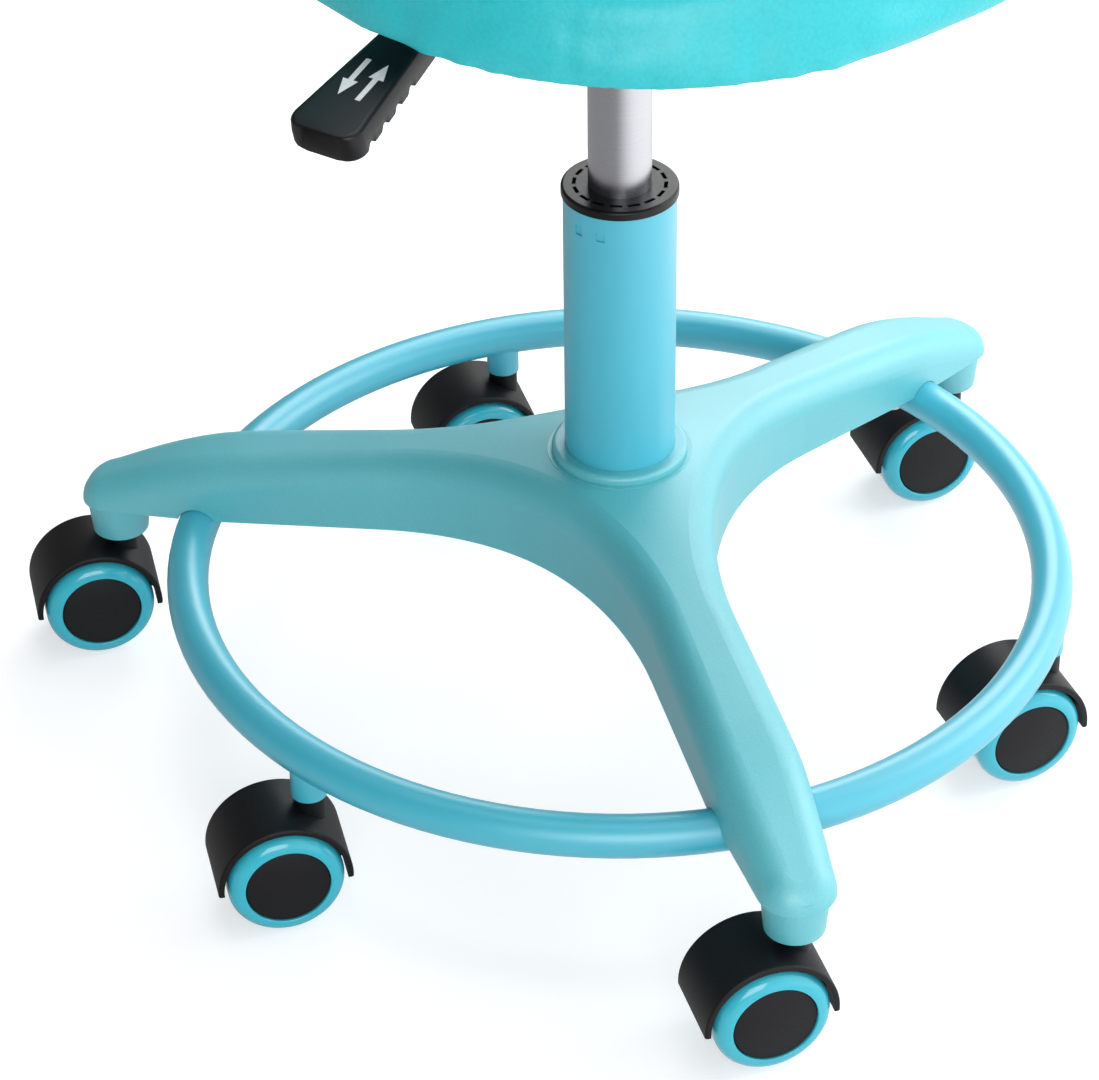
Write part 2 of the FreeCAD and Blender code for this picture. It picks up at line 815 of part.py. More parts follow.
def make_column():
    """Outer lift tube with its floor, the slotted guide bush and the thrust bearing."""
    inside = S.column_radius - S.column_wall
    foot = S.column_radius - S.column_taper
    tube = turned("column_tube", [
        (S.column_floor_hole, S.column_bottom), (foot, S.column_bottom),
        (S.column_radius, S.collar_top), (S.column_radius, S.column_top), (inside, S.column_top),
        (inside, S.collar_top), (foot - S.column_wall, S.column_bottom + S.column_floor),
        (S.column_floor_hole, S.column_bottom + S.column_floor)])
    tube.Label = "TubeBlank"
    lances = []
    for step in range(2):
        lance = solid("Box", Length=S.column_wall * 2, Width=S.lance_width, Height=S.lance_height)
        azimuth = S.lance_azimuth + S.lance_step * step
        reach = polar(S.column_radius - S.lance_depth, azimuth)
        aside = polar(S.lance_width / 2, azimuth - 90)
        raise_to(lance, reach[0] + aside[0], reach[1] + aside[1], S.column_top - S.lance_down)
        bind(lance, "Placement.Rotation.Angle", azimuth)
        lances.append(lance)
    named(cut(tube, fused(lances)), "column_tube")

    guide = S.cylinder_radius + S.running
    sleeve = inside - S.fixed_gap
    top = S.column_top + S.bush_flange
    bush = turned("column_bush", [
        (guide, S.column_top - S.bush_guide), (sleeve - S.bush_sleeve_wall, S.column_top - S.bush_guide),
        (sleeve - S.bush_sleeve_wall, S.column_top - S.bush_sleeve), (sleeve, S.column_top - S.bush_sleeve),
        (sleeve, S.column_top), (S.column_radius + S.bush_flange_over, S.column_top),
        (S.column_radius + S.bush_flange_over, top, S.bush_flange_round), (guide, top)])
    doc.recompute()
    slot = sketch_in(bush, "XY_Plane", top)
    rectangle(slot, S.bush_slot_radius, as_size(0), S.bush_slot_width, S.bush_slot_length)
    slots = pocket(bush, slot, S.bush_slot_depth)
    pattern = bush.newObject("PartDesign::PolarPattern", "Slots")
    pattern.Originals = [slots]
    pattern.Axis = (slot, ["N_Axis"])
    pattern.Angle = 360
    bind(pattern, "Occurrences", S.bush_slot_count)
    bush.Tip = pattern
    keep(bush)

    floor = S.column_bottom + S.column_floor
    lower = turned("LowerWasher", ring_corners(S.washer_hole, S.washer_radius, floor, S.washer_thickness))
    above = floor + S.washer_thickness + S.ball_radius * 2
    upper = turned("UpperWasher", ring_corners(S.washer_hole, S.washer_radius, above, S.washer_thickness))
    parts = [lower, upper]
    for turn in range(round(S.ball_count.value)):
        ball = solid("Sphere", Radius=S.ball_radius - S.running / 10)
        x, y = polar(S.ball_circle, as_size(360) / S.ball_count * turn)
        parts.append(raise_to(ball, x, y, floor + S.washer_thickness + S.ball_radius))
    keep(group_of("thrust_bearing", parts))


def ring_corners(inside, outside, low, height):
    return [(inside, low), (outside, low), (outside, low + height), (inside, low + height)]


def make_gas_spring():
    """Piston rod that turns in the column floor, and the cylinder that slides on it."""
    floor = S.column_bottom + S.column_floor
    shoulder = floor + S.washer_thickness * 2 + S.ball_radius * 2 + S.running
    foot = S.column_bottom - S.rod_stub_drop
    piston = S.chamber_radius - S.running
    rod = turned("piston_rod", [
        (0, foot), (S.rod_stub_radius, foot), (S.rod_stub_radius, shoulder), (S.rod_radius, shoulder),
        (S.rod_radius, S.rod_top - S.piston_height), (piston, S.rod_top - S.piston_height),
        (piston, S.rod_top), (0, S.rod_top)])
    keep(rod)
    clip_top = S.column_bottom - S.soft_gap
    keep(turned("rod_clip", ring_corners(S.rod_stub_radius + S.fixed_gap / 2, S.clip_radius,
                                         clip_top - S.clip_thickness, S.clip_thickness)))
    keep(turned("rubber_buffer", ring_corners(S.rod_radius + S.fixed_gap, S.buffer_radius,
                                              shoulder + S.soft_gap, S.buffer_height)))

    low = S.cylinder_bottom
    cap = S.cylinder_top - S.cylinder_cap
    cylinder = turned("gas_cylinder", [
        (S.rod_radius + S.running, low), (S.cylinder_radius, low), (S.cylinder_radius, S.cone_bottom),
        (S.cylinder_top_radius, S.cylinder_top), (S.pin_radius + S.running, S.cylinder_top),
        (S.pin_radius + S.running, cap), (S.chamber_radius, cap),
        (S.chamber_radius, low + S.cylinder_end), (S.rod_radius + S.running, low + S.cylinder_end)])
    keep(cylinder)
    pin_top = S.cylinder_top + S.pin_stand
    keep(turned("release_pin", [
        (0, pin_top - S.pin_length), (S.pin_radius, pin_top - S.pin_length),
        (S.pin_radius, pin_top - S.stem_chamfer), (S.pin_radius - S.stem_chamfer, pin_top), (0, pin_top)]))


# Seat

def make_seat_plate():
    """Pressed plate with a deep pan, a tapered socket for the cylinder and lever ears."""
    body = new_body("seat_plate")
    under = S.seat_base - S.plate_thickness
    flange = sketch_in(body, "XY_Plane", under)
    rectangle(flange, as_size(0), as_size(0), S.plate_width, S.plate_depth, S.plate_corner)
    pad(body, flange, S.plate_thickness)
    pan = sketch_in(body, "XY_Plane", S.seat_base - S.pan_drop)
    rectangle(pan, as_size(0), as_size(0), S.pan_width, S.pan_depth, S.pan_corner)
    pad(body, pan, S.pan_drop)
    inside = sketch_in(body, "XY_Plane", S.seat_base)
    thin = S.plate_thickness
    width = S.pan_width - thin * 2
    depth = S.pan_depth - thin * 2
    rectangle(inside, as_size(0), as_size(0), width, depth, S.pan_corner - thin)
    pocket(body, inside, S.pan_drop - thin)
    gap = S.fixed_gap
    slope = (S.cylinder_radius - S.cylinder_top_radius) / (S.cylinder_top - S.cone_bottom)
    tip = S.cylinder_top - S.cylinder_end
    tip_radius = S.cylinder_radius - slope * (tip - S.cone_bottom)
    hole = sketch_in(body, "XY_Plane", S.seat_base - S.pan_drop)
    circle(hole, 0, 0, S.cylinder_radius + S.cone_wall / 2)
    pocket(body, hole, thin, backwards=True)
    revolve(body, [
        (S.cylinder_radius + gap, S.cone_bottom), (S.cylinder_radius + S.cone_wall, S.cone_bottom),
        (S.cylinder_radius + S.cone_wall, tip), (tip_radius + gap, tip)])
    turn = S.lever_azimuth
    for side in (-1, 1):
        ear = sketch_in(body, "XY_Plane", S.seat_base - S.pan_drop + thin / 2)
        middle = polar(S.lever_pivot, turn)
        shift = polar((S.ear_half_gap + S.ear_thickness / 2) * side, turn + 90)
        corners = []
        for along, across in ((-1, -1), (1, -1), (1, 1), (-1, 1)):
            a = polar(S.ear_radius * along, turn)
            b = polar(S.ear_thickness / 2 * across, turn + 90)
            corners.append((middle[0] + shift[0] + a[0] + b[0], middle[1] + shift[1] + a[1] + b[1]))
        outline(ear, corners)
        pad(body, ear, S.lever_height + S.ear_radius - (S.seat_base - S.pan_drop + thin / 2))
    holes = sketch_in(body, "XY_Plane", S.seat_base)
    for x, y in plate_screws():
        circle(holes, x, y, S.screw_radius + S.soft_gap)
    pocket(body, holes, thin)
    doc.recompute()
    slot_half = S.lever_rod_radius + S.lever_slot_room / 4
    slot = solid("Box", Length=S.pan_width, Width=slot_half * 2,
                 Height=(S.lever_rod_radius + S.lever_slot_room) * 2)
    x, y = polar(S.lever_pivot, turn)
    dx, dy = polar(slot_half, turn - 90)
    raise_to(slot, x + dx, y + dy, S.lever_height - S.lever_rod_radius - S.lever_slot_room)
    bind(slot, "Placement.Rotation.Angle", turn)
    pivot = solid("Cylinder", Radius=S.lever_pivot_radius + S.running, Height=S.ear_half_gap * 4)
    pivot.Placement = FreeCAD.Placement(Vector(), FreeCAD.Rotation(UP, turn.value)
                                        * FreeCAD.Rotation(Vector(1, 0, 0), 90))
    side = polar(S.ear_half_gap * 2, turn + 90)
    raise_to(pivot, x + side[0], y + side[1], S.lever_height)
    body.Label = "PlatePressing"
    named(cut(body, fused([slot, pivot])), "seat_plate")


def plate_screws():
    return [(S.plate_screw_x * a, S.plate_screw_y * b) for a in (-1, 1) for b in (-1, 1)]


def bar_screws():
    return [(as_size(0), S.bar_screw_first + S.bar_screw_step * step) for step in range(2)]


def screw(length, shank_from):
    """A pan-head screw standing on its head, its bearing face at shank_from."""
    return turned("ScrewMaster", [
        (0, shank_from - S.screw_head), (S.screw_head_radius, shank_from - S.screw_head, S.screw_head / 2),
        (S.screw_head_radius, shank_from), (S.screw_radius, shank_from),
        (S.screw_radius, shank_from + length), (0, shank_from + length)])


def screws_at(label, master, places, placement=None):
    copies = []
    for x, y in places:
        copy = doc.addObject("App::Link", "Screw")
        copy.LinkedObject = master
        spot = FreeCAD.Placement(Vector(as_size(x).value, as_size(y).value, 0), FreeCAD.Rotation())
        copy.Placement = placement * spot if placement else spot
        copies.append(copy)
    keep(group_of(label, copies))


def make_seat():
    """Plywood seat board inside an upholstered pad, held by screws from below."""
    ahead = -S.seat_ahead
    inset = S.seat_board_inset * 2
    board = new_body("seat_board")
    plan = sketch_in(board, "XY_Plane", S.seat_base)
    rectangle(plan, as_size(0), ahead, S.seat_width - inset, S.seat_depth - inset,
              S.seat_corner - S.seat_board_inset)
    pad(board, plan, S.seat_board_thickness)
    holes = sketch_in(board, "XY_Plane", S.seat_base)
    for x, y in plate_screws() + bar_screws():
        circle(holes, x, y, S.screw_radius + S.fixed_gap)
    pocket(board, holes, S.seat_board_thickness, backwards=True)
    keep(board)

    cushion = new_body("seat_cushion")
    plan = sketch_in(cushion, "XY_Plane", S.seat_base)
    rectangle(plan, as_size(0), ahead, S.seat_width, S.seat_depth, S.seat_corner)
    pad(cushion, plan, S.seat_thickness)
    top = S.seat_base + S.seat_thickness
    round_edges(cushion, S.seat_top_round, lambda edge: at_height(edge, top))
    round_edges(cushion, S.seat_bottom_round, lambda edge: at_height(edge, S.seat_base))
    room = sketch_in(cushion, "XY_Plane", S.seat_base)
    gap = S.soft_gap
    rectangle(room, as_size(0), ahead, S.seat_width - inset + gap * 2, S.seat_depth - inset + gap * 2,
              S.seat_corner - S.seat_board_inset + gap)
    pocket(cushion, room, S.seat_board_thickness + gap, backwards=True)
    keep(cushion)

    under_plate = S.seat_base - S.plate_thickness
    plate_screw = screw(S.plate_thickness + S.seat_board_thickness - S.screw_cover, under_plate)
    under_bar = S.seat_base - S.bar_thickness
    bar_screw = screw(S.bar_thickness + S.seat_board_thickness - S.screw_cover, under_bar)
    doc.recompute()
    screws_at("seat_screws", plate_screw, plate_screws())
    screws_at("back_bar_screws", bar_screw, bar_screws())


# Back

def back_place():
    """Where the back's own frame stands: at the top of the bar's bend, leaning back."""
    lean = S.back_lean
    bend = S.bar_bend_round
    y = S.bar_bend_start + bend * cosine(lean)
    z = S.seat_base + bend - bend * sine(lean)
    return y, z


def make_back():
    """Flat bent bar, back board, padded front and the screws through the bar."""
    bar = new_body("back_bar")
    side = sketch_in(bar, "YZ_Plane")
    lean = S.back_lean
    thick = S.bar_thickness
    inner = S.bar_bend_round
    top_y = S.bar_bend_start + inner * cosine(lean) + S.bar_length * sine(lean)
    top_z = S.seat_base + inner - inner * sine(lean) + S.bar_length * cosine(lean)
    corner_reach = inner * root((1 - sine(lean)) / (1 + sine(lean)))
    inside = (S.bar_bend_start + corner_reach, S.seat_base, inner)
    outer_reach = (inner + thick) * root((1 - sine(lean)) / (1 + sine(lean)))
    outside = (S.bar_bend_start + outer_reach, S.seat_base - thick, inner + thick)
    outline(side, [
        (S.bar_front, S.seat_base), inside, (top_y, top_z),
        (top_y + thick * cosine(lean), top_z - thick * sine(lean)), outside,
        (S.bar_front, S.seat_base - thick)])
    pad(bar, side, S.bar_width, symmetric=True)
    holes = sketch_in(bar, "XY_Plane", S.seat_base)
    for x, y in bar_screws():
        circle(holes, x, y, S.screw_radius + S.soft_gap)
    pocket(bar, holes, thick)
    doc.recompute()
    y, z = back_place()
    frame = FreeCAD.Placement(Vector(0, y.value, z.value), FreeCAD.Rotation(Vector(1, 0, 0), -lean.value))
    drill = solid("Cylinder", Radius=S.screw_radius + S.soft_gap, Height=thick * 4)
    drills = []
    for x, height in back_screws():
        spot = FreeCAD.Placement(Vector(0, 0, height.value), FreeCAD.Rotation(Vector(1, 0, 0), -90))
        copy = doc.addObject("App::Link", "Drill")
        copy.LinkedObject = drill
        copy.Placement = frame * spot * FreeCAD.Placement(Vector(0, 0, -thick.value), FreeCAD.Rotation())
        drills.append(copy)
    bar.Label = "BarBlank"
    named(cut(bar, fused(drills)), "back_bar")

    middle = S.back_start + S.back_height / 2
    inset = S.back_board_inset * 2
    board = new_body("back_board")
    plan = sketch_in(board, "XZ_Plane")
    rectangle(plan, as_size(0), middle, S.back_width - inset, S.back_height - inset,
              S.back_corner - S.back_board_inset)
    pad(board, plan, S.back_board_thickness)
    holes = sketch_in(board, "XZ_Plane")
    for x, height in back_screws():
        circle(holes, x, height, S.screw_radius + S.fixed_gap)
    pocket(board, holes, S.back_board_thickness, backwards=True)
    board.Placement = frame
    keep(board)

    cushion = new_body("back_cushion")
    plan = sketch_in(cushion, "XZ_Plane")
    rectangle(plan, as_size(0), middle, S.back_width, S.back_height, S.back_corner)
    pad(cushion, plan, S.back_thickness)
    round_edges(cushion, S.back_front_round, lambda edge: at_depth(edge, -S.back_thickness))
    round_edges(cushion, S.back_rear_round, lambda edge: at_depth(edge, as_size(0)))
    room = sketch_in(cushion, "XZ_Plane")
    gap = S.soft_gap
    rectangle(room, as_size(0), middle, S.back_width - inset + gap * 2, S.back_height - inset + gap * 2,
              S.back_corner - S.back_board_inset + gap)
    pocket(cushion, room, S.back_board_thickness + gap, backwards=True)
    cushion.Placement = frame
    keep(cushion)

    back_screw = screw(thick + S.back_board_thickness - S.screw_cover, -thick)
    doc.recompute()
    copies = []
    for x, height in back_screws():
        copy = doc.addObject("App::Link", "Screw")
        copy.LinkedObject = back_screw
        spot = FreeCAD.Placement(Vector(0, 0, height.value), FreeCAD.Rotation(Vector(1, 0, 0), 90))
        copy.Placement = frame * spot
        copies.append(copy)
    keep(group_of("back_screws", copies))


def back_screws():
    return [(as_size(0), S.back_screw_first + S.back_screw_step * step) for step in range(2)]


def at_depth(edge, depth):
    box = edge.BoundBox
    return abs(box.YMin - depth.value) < 0.01 and abs(box.YMax - depth.value) < 0.01


# Lift lever

def lever_frame():
    return FreeCAD.Placement(Vector(0, 0, S.lever_height.value), FreeCAD.Rotation(UP, S.lever_azimuth.value))


def make_lever():
    """Bent steel rod with a cross pin, and the moulded paddle pushed on its end."""
    rod = new_body("LeverRod")
    bend_reach = S.lever_bend_round * root((1 - cosine(S.lever_droop)) / (1 + cosine(S.lever_droop)))
    corner_x = S.lever_bend + bend_reach
    end_x = corner_x + (S.lever_tail + bend_reach) * cosine(S.lever_droop)
    end_z = -(S.lever_tail + bend_reach) * sine(S.lever_droop)
    spine = sketch_in(rod, "XZ_Plane")
    first, last = round_corner((-S.lever_inner_end, as_size(0)), (corner_x, as_size(0)), (end_x, end_z),
                               S.lever_bend_round)
    arc, forward = arc_between(first, last, (corner_x, as_size(0)), S.lever_bend_round)
    straight = spine.addGeometry(Part.LineSegment(flat((-S.lever_inner_end, 0)), flat(first)), False)
    hold_point(spine, straight, 1, -S.lever_inner_end, 0)
    hold_point(spine, straight, 2, first[0], 0)
    curve = spine.addGeometry(arc, False)
    hold_point(spine, curve, 1 if forward else 2, first[0], 0)
    hold_point(spine, curve, 2 if forward else 1, *last)
    number = spine.addConstraint(Sketcher.Constraint("Radius", curve, S.lever_bend_round.value))
    bind(spine, f"Constraints[{number}]", S.lever_bend_round)
    tail = spine.addGeometry(Part.LineSegment(flat(last), flat((end_x, end_z))), False)
    hold_point(spine, tail, 1, *last)
    hold_point(spine, tail, 2, end_x, end_z)
    profile = sketch_in(rod, "YZ_Plane", -S.lever_inner_end)
    circle(profile, 0, 0, S.lever_rod_radius)
    doc.recompute()
    pipe = rod.newObject("PartDesign::AdditivePipe", "Pipe")
    pipe.Profile = profile
    pipe.Spine = spine
    doc.recompute()
    cross = sketch_in(rod, "XZ_Plane")
    circle(cross, S.lever_pivot, 0, S.lever_pivot_radius)
    pad(rod, cross, (S.ear_half_gap + S.ear_thickness) * 2, symmetric=True)
    rod.Placement = lever_frame()
    named(rod, "lever_rod")

    paddle = new_body("lever_paddle")
    plan = sketch_in(paddle, "XY_Plane", -S.paddle_thickness / 2)
    tip = S.paddle_start + S.paddle_length
    outline(plan, [
        (S.paddle_start, -S.paddle_root_half), (tip, -S.paddle_tip_half, S.paddle_tip_round),
        (tip, S.paddle_tip_half, S.paddle_tip_round), (S.paddle_start, S.paddle_root_half)])
    pad(paddle, plan, S.paddle_thickness)
    round_edges(paddle, S.paddle_edge_round, lambda edge: at_height(edge, S.paddle_thickness / 2))
    round_edges(paddle, S.paddle_edge_round, lambda edge: at_height(edge, -S.paddle_thickness / 2))
    bore = sketch_in(paddle, "YZ_Plane")
    circle(bore, 0, 0, S.lever_rod_radius + S.fixed_gap)
    pocket(paddle, bore, S.lever_tail + 1, backwards=True)
    tail_at = FreeCAD.Placement(Vector(last[0].value, 0, last[1].value),
                                FreeCAD.Rotation(Vector(0, 1, 0), S.lever_droop.value))
    paddle.Placement = lever_frame() * tail_at
    keep(paddle)


make_casters()
make_ring()
make_spider()
make_column()
make_gas_spring()
make_seat_plate()
make_seat()
make_back()
make_lever()
doc.recompute()

# check every object and piece, then write one file per piece
for thing in doc.Objects:
    if "Invalid" in thing.State or "Error" in thing.State:
        raise RuntimeError(f"{thing.Name} ({thing.Label}) failed: {thing.State}")
os.makedirs("parts", exist_ok=True)
shapes = {}
for thing in pieces:
    shape = Part.getShape(thing)
    if shape.isNull() or not shape.isValid() or not shape.Solids:
        raise RuntimeError(f"{thing.Label} has no valid solid")
    shapes[thing.Label] = shape
for label, shape in shapes.items():
    shape.exportStep(os.path.join("parts", label + ".step"))
print(len(shapes), "pieces")
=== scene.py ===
import math

import bmesh
import bpy
from mathutils import Matrix, Vector


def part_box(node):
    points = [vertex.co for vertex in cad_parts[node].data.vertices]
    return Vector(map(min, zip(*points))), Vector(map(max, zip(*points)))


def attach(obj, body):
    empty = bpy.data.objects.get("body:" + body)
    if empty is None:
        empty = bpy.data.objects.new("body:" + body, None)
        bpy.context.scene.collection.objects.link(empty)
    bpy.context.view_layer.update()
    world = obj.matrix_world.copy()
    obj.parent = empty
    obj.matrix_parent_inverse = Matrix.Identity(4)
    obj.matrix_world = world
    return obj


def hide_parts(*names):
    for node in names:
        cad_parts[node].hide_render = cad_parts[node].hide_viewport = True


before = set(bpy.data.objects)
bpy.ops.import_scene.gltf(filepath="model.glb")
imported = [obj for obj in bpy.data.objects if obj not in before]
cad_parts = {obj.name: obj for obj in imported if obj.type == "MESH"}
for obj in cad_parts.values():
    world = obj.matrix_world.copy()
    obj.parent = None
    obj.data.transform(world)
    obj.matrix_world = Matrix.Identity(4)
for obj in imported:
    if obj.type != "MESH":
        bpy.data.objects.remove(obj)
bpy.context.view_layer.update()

# Moulded base
# One nylon moulding: three spokes that flow into a collar round the column.
# The mould was spark-eroded, so the skin has a fine even grain and no gloss.


def linear(shade):
    """An sRGB hex value as the linear colour a shader takes."""
    parts = [int(shade[i:i + 2], 16) / 255 for i in (1, 3, 5)]
    return [c / 12.92 if c <= 0.04045 else ((c + 0.055) / 1.055) ** 2.4 for c in parts] + [1.0]


def add(tree, kind, inputs=None, **settings):
    """Add a node: settings go on the node, inputs are constants or sockets to link from."""
    node = tree.nodes.new(kind)
    for name, value in settings.items():
        setattr(node, name, value)
    for name, value in (inputs or {}).items():
        if isinstance(value, bpy.types.NodeSocket):
            tree.links.new(value, node.inputs[name])
        else:
            node.inputs[name].default_value = value
    return node


def new_finish(name, **constants):
    """A material with its shader's constants set; gives the tree, shader and object coordinates."""
    material = bpy.data.materials.new(name)
    material.use_nodes = True
    tree = material.node_tree
    shader = tree.nodes["Principled BSDF"]
    for socket, value in constants.items():
        shader.inputs[socket.replace("_", " ")].default_value = value
    place = add(tree, "ShaderNodeTexCoord").outputs["Object"]
    return material, tree, shader, place


def wire(tree, shader, colour, gloss=None, relief=None):
    """Connect a finish: its colour, and its roughness and normal where they vary."""
    tree.links.new(colour, shader.inputs["Base Color"])
    if gloss:
        tree.links.new(gloss.outputs["Result"], shader.inputs["Roughness"])
    if relief:
        tree.links.new(relief.outputs["Normal"], shader.inputs["Normal"])


def paint(material, *names):
    """Give CAD nodes a material, in place of their plain one."""
    for name in names:
        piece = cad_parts[name]
        piece.data.materials.clear()
        piece.data.materials.append(material)


# dyed nylon from an eroded mould: a grain drawn coarse, at 0.7 mm, to show, on a slow drift of colour
base_nylon, tree, shader, place = new_finish("eroded_turquoise_nylon", IOR=1.6, Coat_Weight=1.0,
                                              Coat_Roughness=0.5, Coat_IOR=1.85)
grain = add(tree, "ShaderNodeTexNoise", {"Vector": place, "Scale": 1 / 0.0007, "Detail": 2.0,
                                         "Roughness": 0.6})
drift = add(tree, "ShaderNodeTexNoise", {"Vector": place, "Scale": 1 / 0.045, "Detail": 2.0})
tone = add(tree, "ShaderNodeMix", {"Factor": drift.outputs["Fac"], 6: linear("#46b3bf"),
                                   7: linear("#4fbbc7")}, data_type="RGBA").outputs[2]
speck = add(tree, "ShaderNodeMapRange", {"Value": grain.outputs["Fac"], "From Min": 0.3, "From Max": 0.7,
                                         "To Min": 0.93, "To Max": 1.07})
tint = add(tree, "ShaderNodeMix", {"Factor": 1.0, 6: tone, 7: speck.outputs["Result"]},
           data_type="RGBA", blend_type="MULTIPLY")
dull = add(tree, "ShaderNodeMapRange", {"Value": grain.outputs["Fac"], "To Min": 0.5, "To Max": 0.62})
relief = add(tree, "ShaderNodeBump", {"Height": grain.outputs["Fac"], "Strength": 0.35, "Distance": 0.0003})
wire(tree, shader, tint.outputs[2], dull, relief)
paint(base_nylon, "base_spider")

# Foot ring and column tube
# Welded steel tube, bent to a ring, and the straight lift tube, both in the same
# turquoise powder coat. The coat melts to a soft gloss with a faint orange peel.
powder_coat, tree, shader, place = new_finish("gloss_turquoise_powder_coat", IOR=1.5, Coat_Weight=0.9,
                                              Coat_Roughness=0.4, Coat_IOR=1.65)
peel = add(tree, "ShaderNodeTexNoise", {"Vector": place, "Scale": 1 / 0.0022, "Detail": 1.0})
drift = add(tree, "ShaderNodeTexNoise", {"Vector": place, "Scale": 1 / 0.06, "Detail": 2.0})
tone = add(tree, "ShaderNodeMix", {"Factor": drift.outputs["Fac"], 6: linear("#36b0c8"),
                                   7: linear("#40b8cf")}, data_type="RGBA").outputs[2]
gloss = add(tree, "ShaderNodeMapRange", {"Value": drift.outputs["Fac"], "To Min": 0.36, "To Max": 0.46})
relief = add(tree, "ShaderNodeBump", {"Height": peel.outputs["Fac"], "Strength": 0.12, "Distance": 0.0002})
wire(tree, shader, tone, gloss, relief)
paint(powder_coat, "foot_ring", "ring_caster_sockets", "column_tube")

# Guide bush
# Black nylon ring pushed into the top of the tube; short slots round its flange
# take the mould's shrinkage. Machined smooth, so it has a satin shine.
bush_nylon, tree, shader, place = new_finish("satin_black_nylon", IOR=1.38)
grain = add(tree, "ShaderNodeTexNoise", {"Vector": place, "Scale": 1 / 0.0016, "Detail": 2.0})
tone = add(tree, "ShaderNodeMix", {"Factor": grain.outputs["Fac"], 6: linear("#08080a"),
                                   7: linear("#0e0e11")}, data_type="RGBA").outputs[2]
gloss = add(tree, "ShaderNodeMapRange", {"Value": grain.outputs["Fac"], "To Min": 0.3, "To Max": 0.42})
relief = add(tree, "ShaderNodeBump", {"Height": grain.outputs["Fac"], "Strength": 0.1, "Distance": 0.0002})
wire(tree, shader, tone, gloss, relief)
paint(bush_nylon, "column_bush")

# Gas lift
# Ground steel cylinder that slides in the bush, its rod and pin, and the lever's rod.
# Grinding leaves rings round it, drawn 0.3 mm apart to show, that break up its shine.
ground_steel, tree, shader, place = new_finish("ground_bright_steel", Metallic=1.0)
rings = add(tree, "ShaderNodeMapping", {"Vector": place, "Scale": (12.0, 12.0, 1 / 0.0003)})
lines = add(tree, "ShaderNodeTexNoise", {"Vector": rings.outputs["Vector"], "Scale": 1.0, "Detail": 4.0})
tone = add(tree, "ShaderNodeMix", {"Factor": lines.outputs["Fac"], 6: linear("#b2b2b8"),
                                   7: linear("#cbcbd1")}, data_type="RGBA").outputs[2]
gloss = add(tree, "ShaderNodeMapRange", {"Value": lines.outputs["Fac"], "To Min": 0.2, "To Max": 0.38})
relief = add(tree, "ShaderNodeBump", {"Height": lines.outputs["Fac"], "Strength": 0.06, "Distance": 0.0001})
wire(tree, shader, tone, gloss, relief)
paint(ground_steel, "gas_cylinder", "piston_rod", "release_pin", "lever_rod")

# Screws, clip, bearing and caster pins
# Small steel parts that hold the chair together, plated with bright zinc: pale and
# slightly blotchy where the plating crystals differ.
CASTERS = range(1, 7)
zinc, tree, shader, place = new_finish("bright_zinc_plate", Metallic=1.0)
blotch = add(tree, "ShaderNodeTexNoise", {"Vector": place, "Scale": 1 / 0.003, "Detail": 3.0})
tone = add(tree, "ShaderNodeMix", {"Factor": blotch.outputs["Fac"], 6: linear("#a4a8ac"),
                                   7: linear("#cfd2d4")}, data_type="RGBA").outputs[2]
gloss = add(tree, "ShaderNodeMapRange", {"Value": blotch.outputs["Fac"], "To Min": 0.22, "To Max": 0.42})
wire(tree, shader, tone, gloss)
paint(zinc, "ring_screws", "rod_clip", "thrust_bearing", "seat_screws", "back_bar_screws", "back_screws",
      *[f"caster_{n}_pins" for n in CASTERS])

# Casters
# Twin wheels: a black nylon hood and wheel cores from a grained mould, and a soft
# polyurethane tread cast round each core, as glossy as the polished mould it left.
hood_nylon, tree, shader, place = new_finish("grained_black_nylon", IOR=1.38)
grain = add(tree, "ShaderNodeTexNoise", {"Vector": place, "Scale": 1 / 0.0009, "Detail": 3.0})
tone = add(tree, "ShaderNodeMix", {"Factor": grain.outputs["Fac"], 6: linear("#09090b"),
                                   7: linear("#101014")}, data_type="RGBA").outputs[2]
gloss = add(tree, "ShaderNodeMapRange", {"Value": grain.outputs["Fac"], "To Min": 0.42, "To Max": 0.58})
relief = add(tree, "ShaderNodeBump", {"Height": grain.outputs["Fac"], "Strength": 0.3, "Distance": 0.0002})
wire(tree, shader, tone, gloss, relief)
paint(hood_nylon, *[f"caster_{n}_hood" for n in CASTERS])

core_nylon, tree, shader, place = new_finish("pebbled_black_nylon", IOR=1.38, Roughness=0.55)
pebble = add(tree, "ShaderNodeTexVoronoi", {"Vector": place, "Scale": 1 / 0.0011}, feature="SMOOTH_F1")
# painted shade: the pebbles' grooves are painted darker than their tops
tone = add(tree, "ShaderNodeMix", {"Factor": pebble.outputs["Distance"], 6: linear("#141418"),
                                   7: linear("#0d0d10")}, data_type="RGBA").outputs[2]
relief = add(tree, "ShaderNodeBump", {"Height": pebble.outputs["Distance"], "Strength": 0.4,
                                      "Distance": 0.0002}, invert=True)
wire(tree, shader, tone, relief=relief)

tread, tree, shader, place = new_finish("cast_turquoise_polyurethane", IOR=1.5, Coat_Weight=0.35,
                                        Coat_Roughness=0.08)
cloud = add(tree, "ShaderNodeTexNoise", {"Vector": place, "Scale": 1 / 0.012, "Detail": 2.0})
tone = add(tree, "ShaderNodeMix", {"Factor": cloud.outputs["Fac"], 6: linear("#31aec2"),
                                   7: linear("#3ab6ca")}, data_type="RGBA").outputs[2]
gloss = add(tree, "ShaderNodeMapRange", {"Value": cloud.outputs["Fac"], "To Min": 0.12, "To Max": 0.2})
wire(tree, shader, tone, gloss)


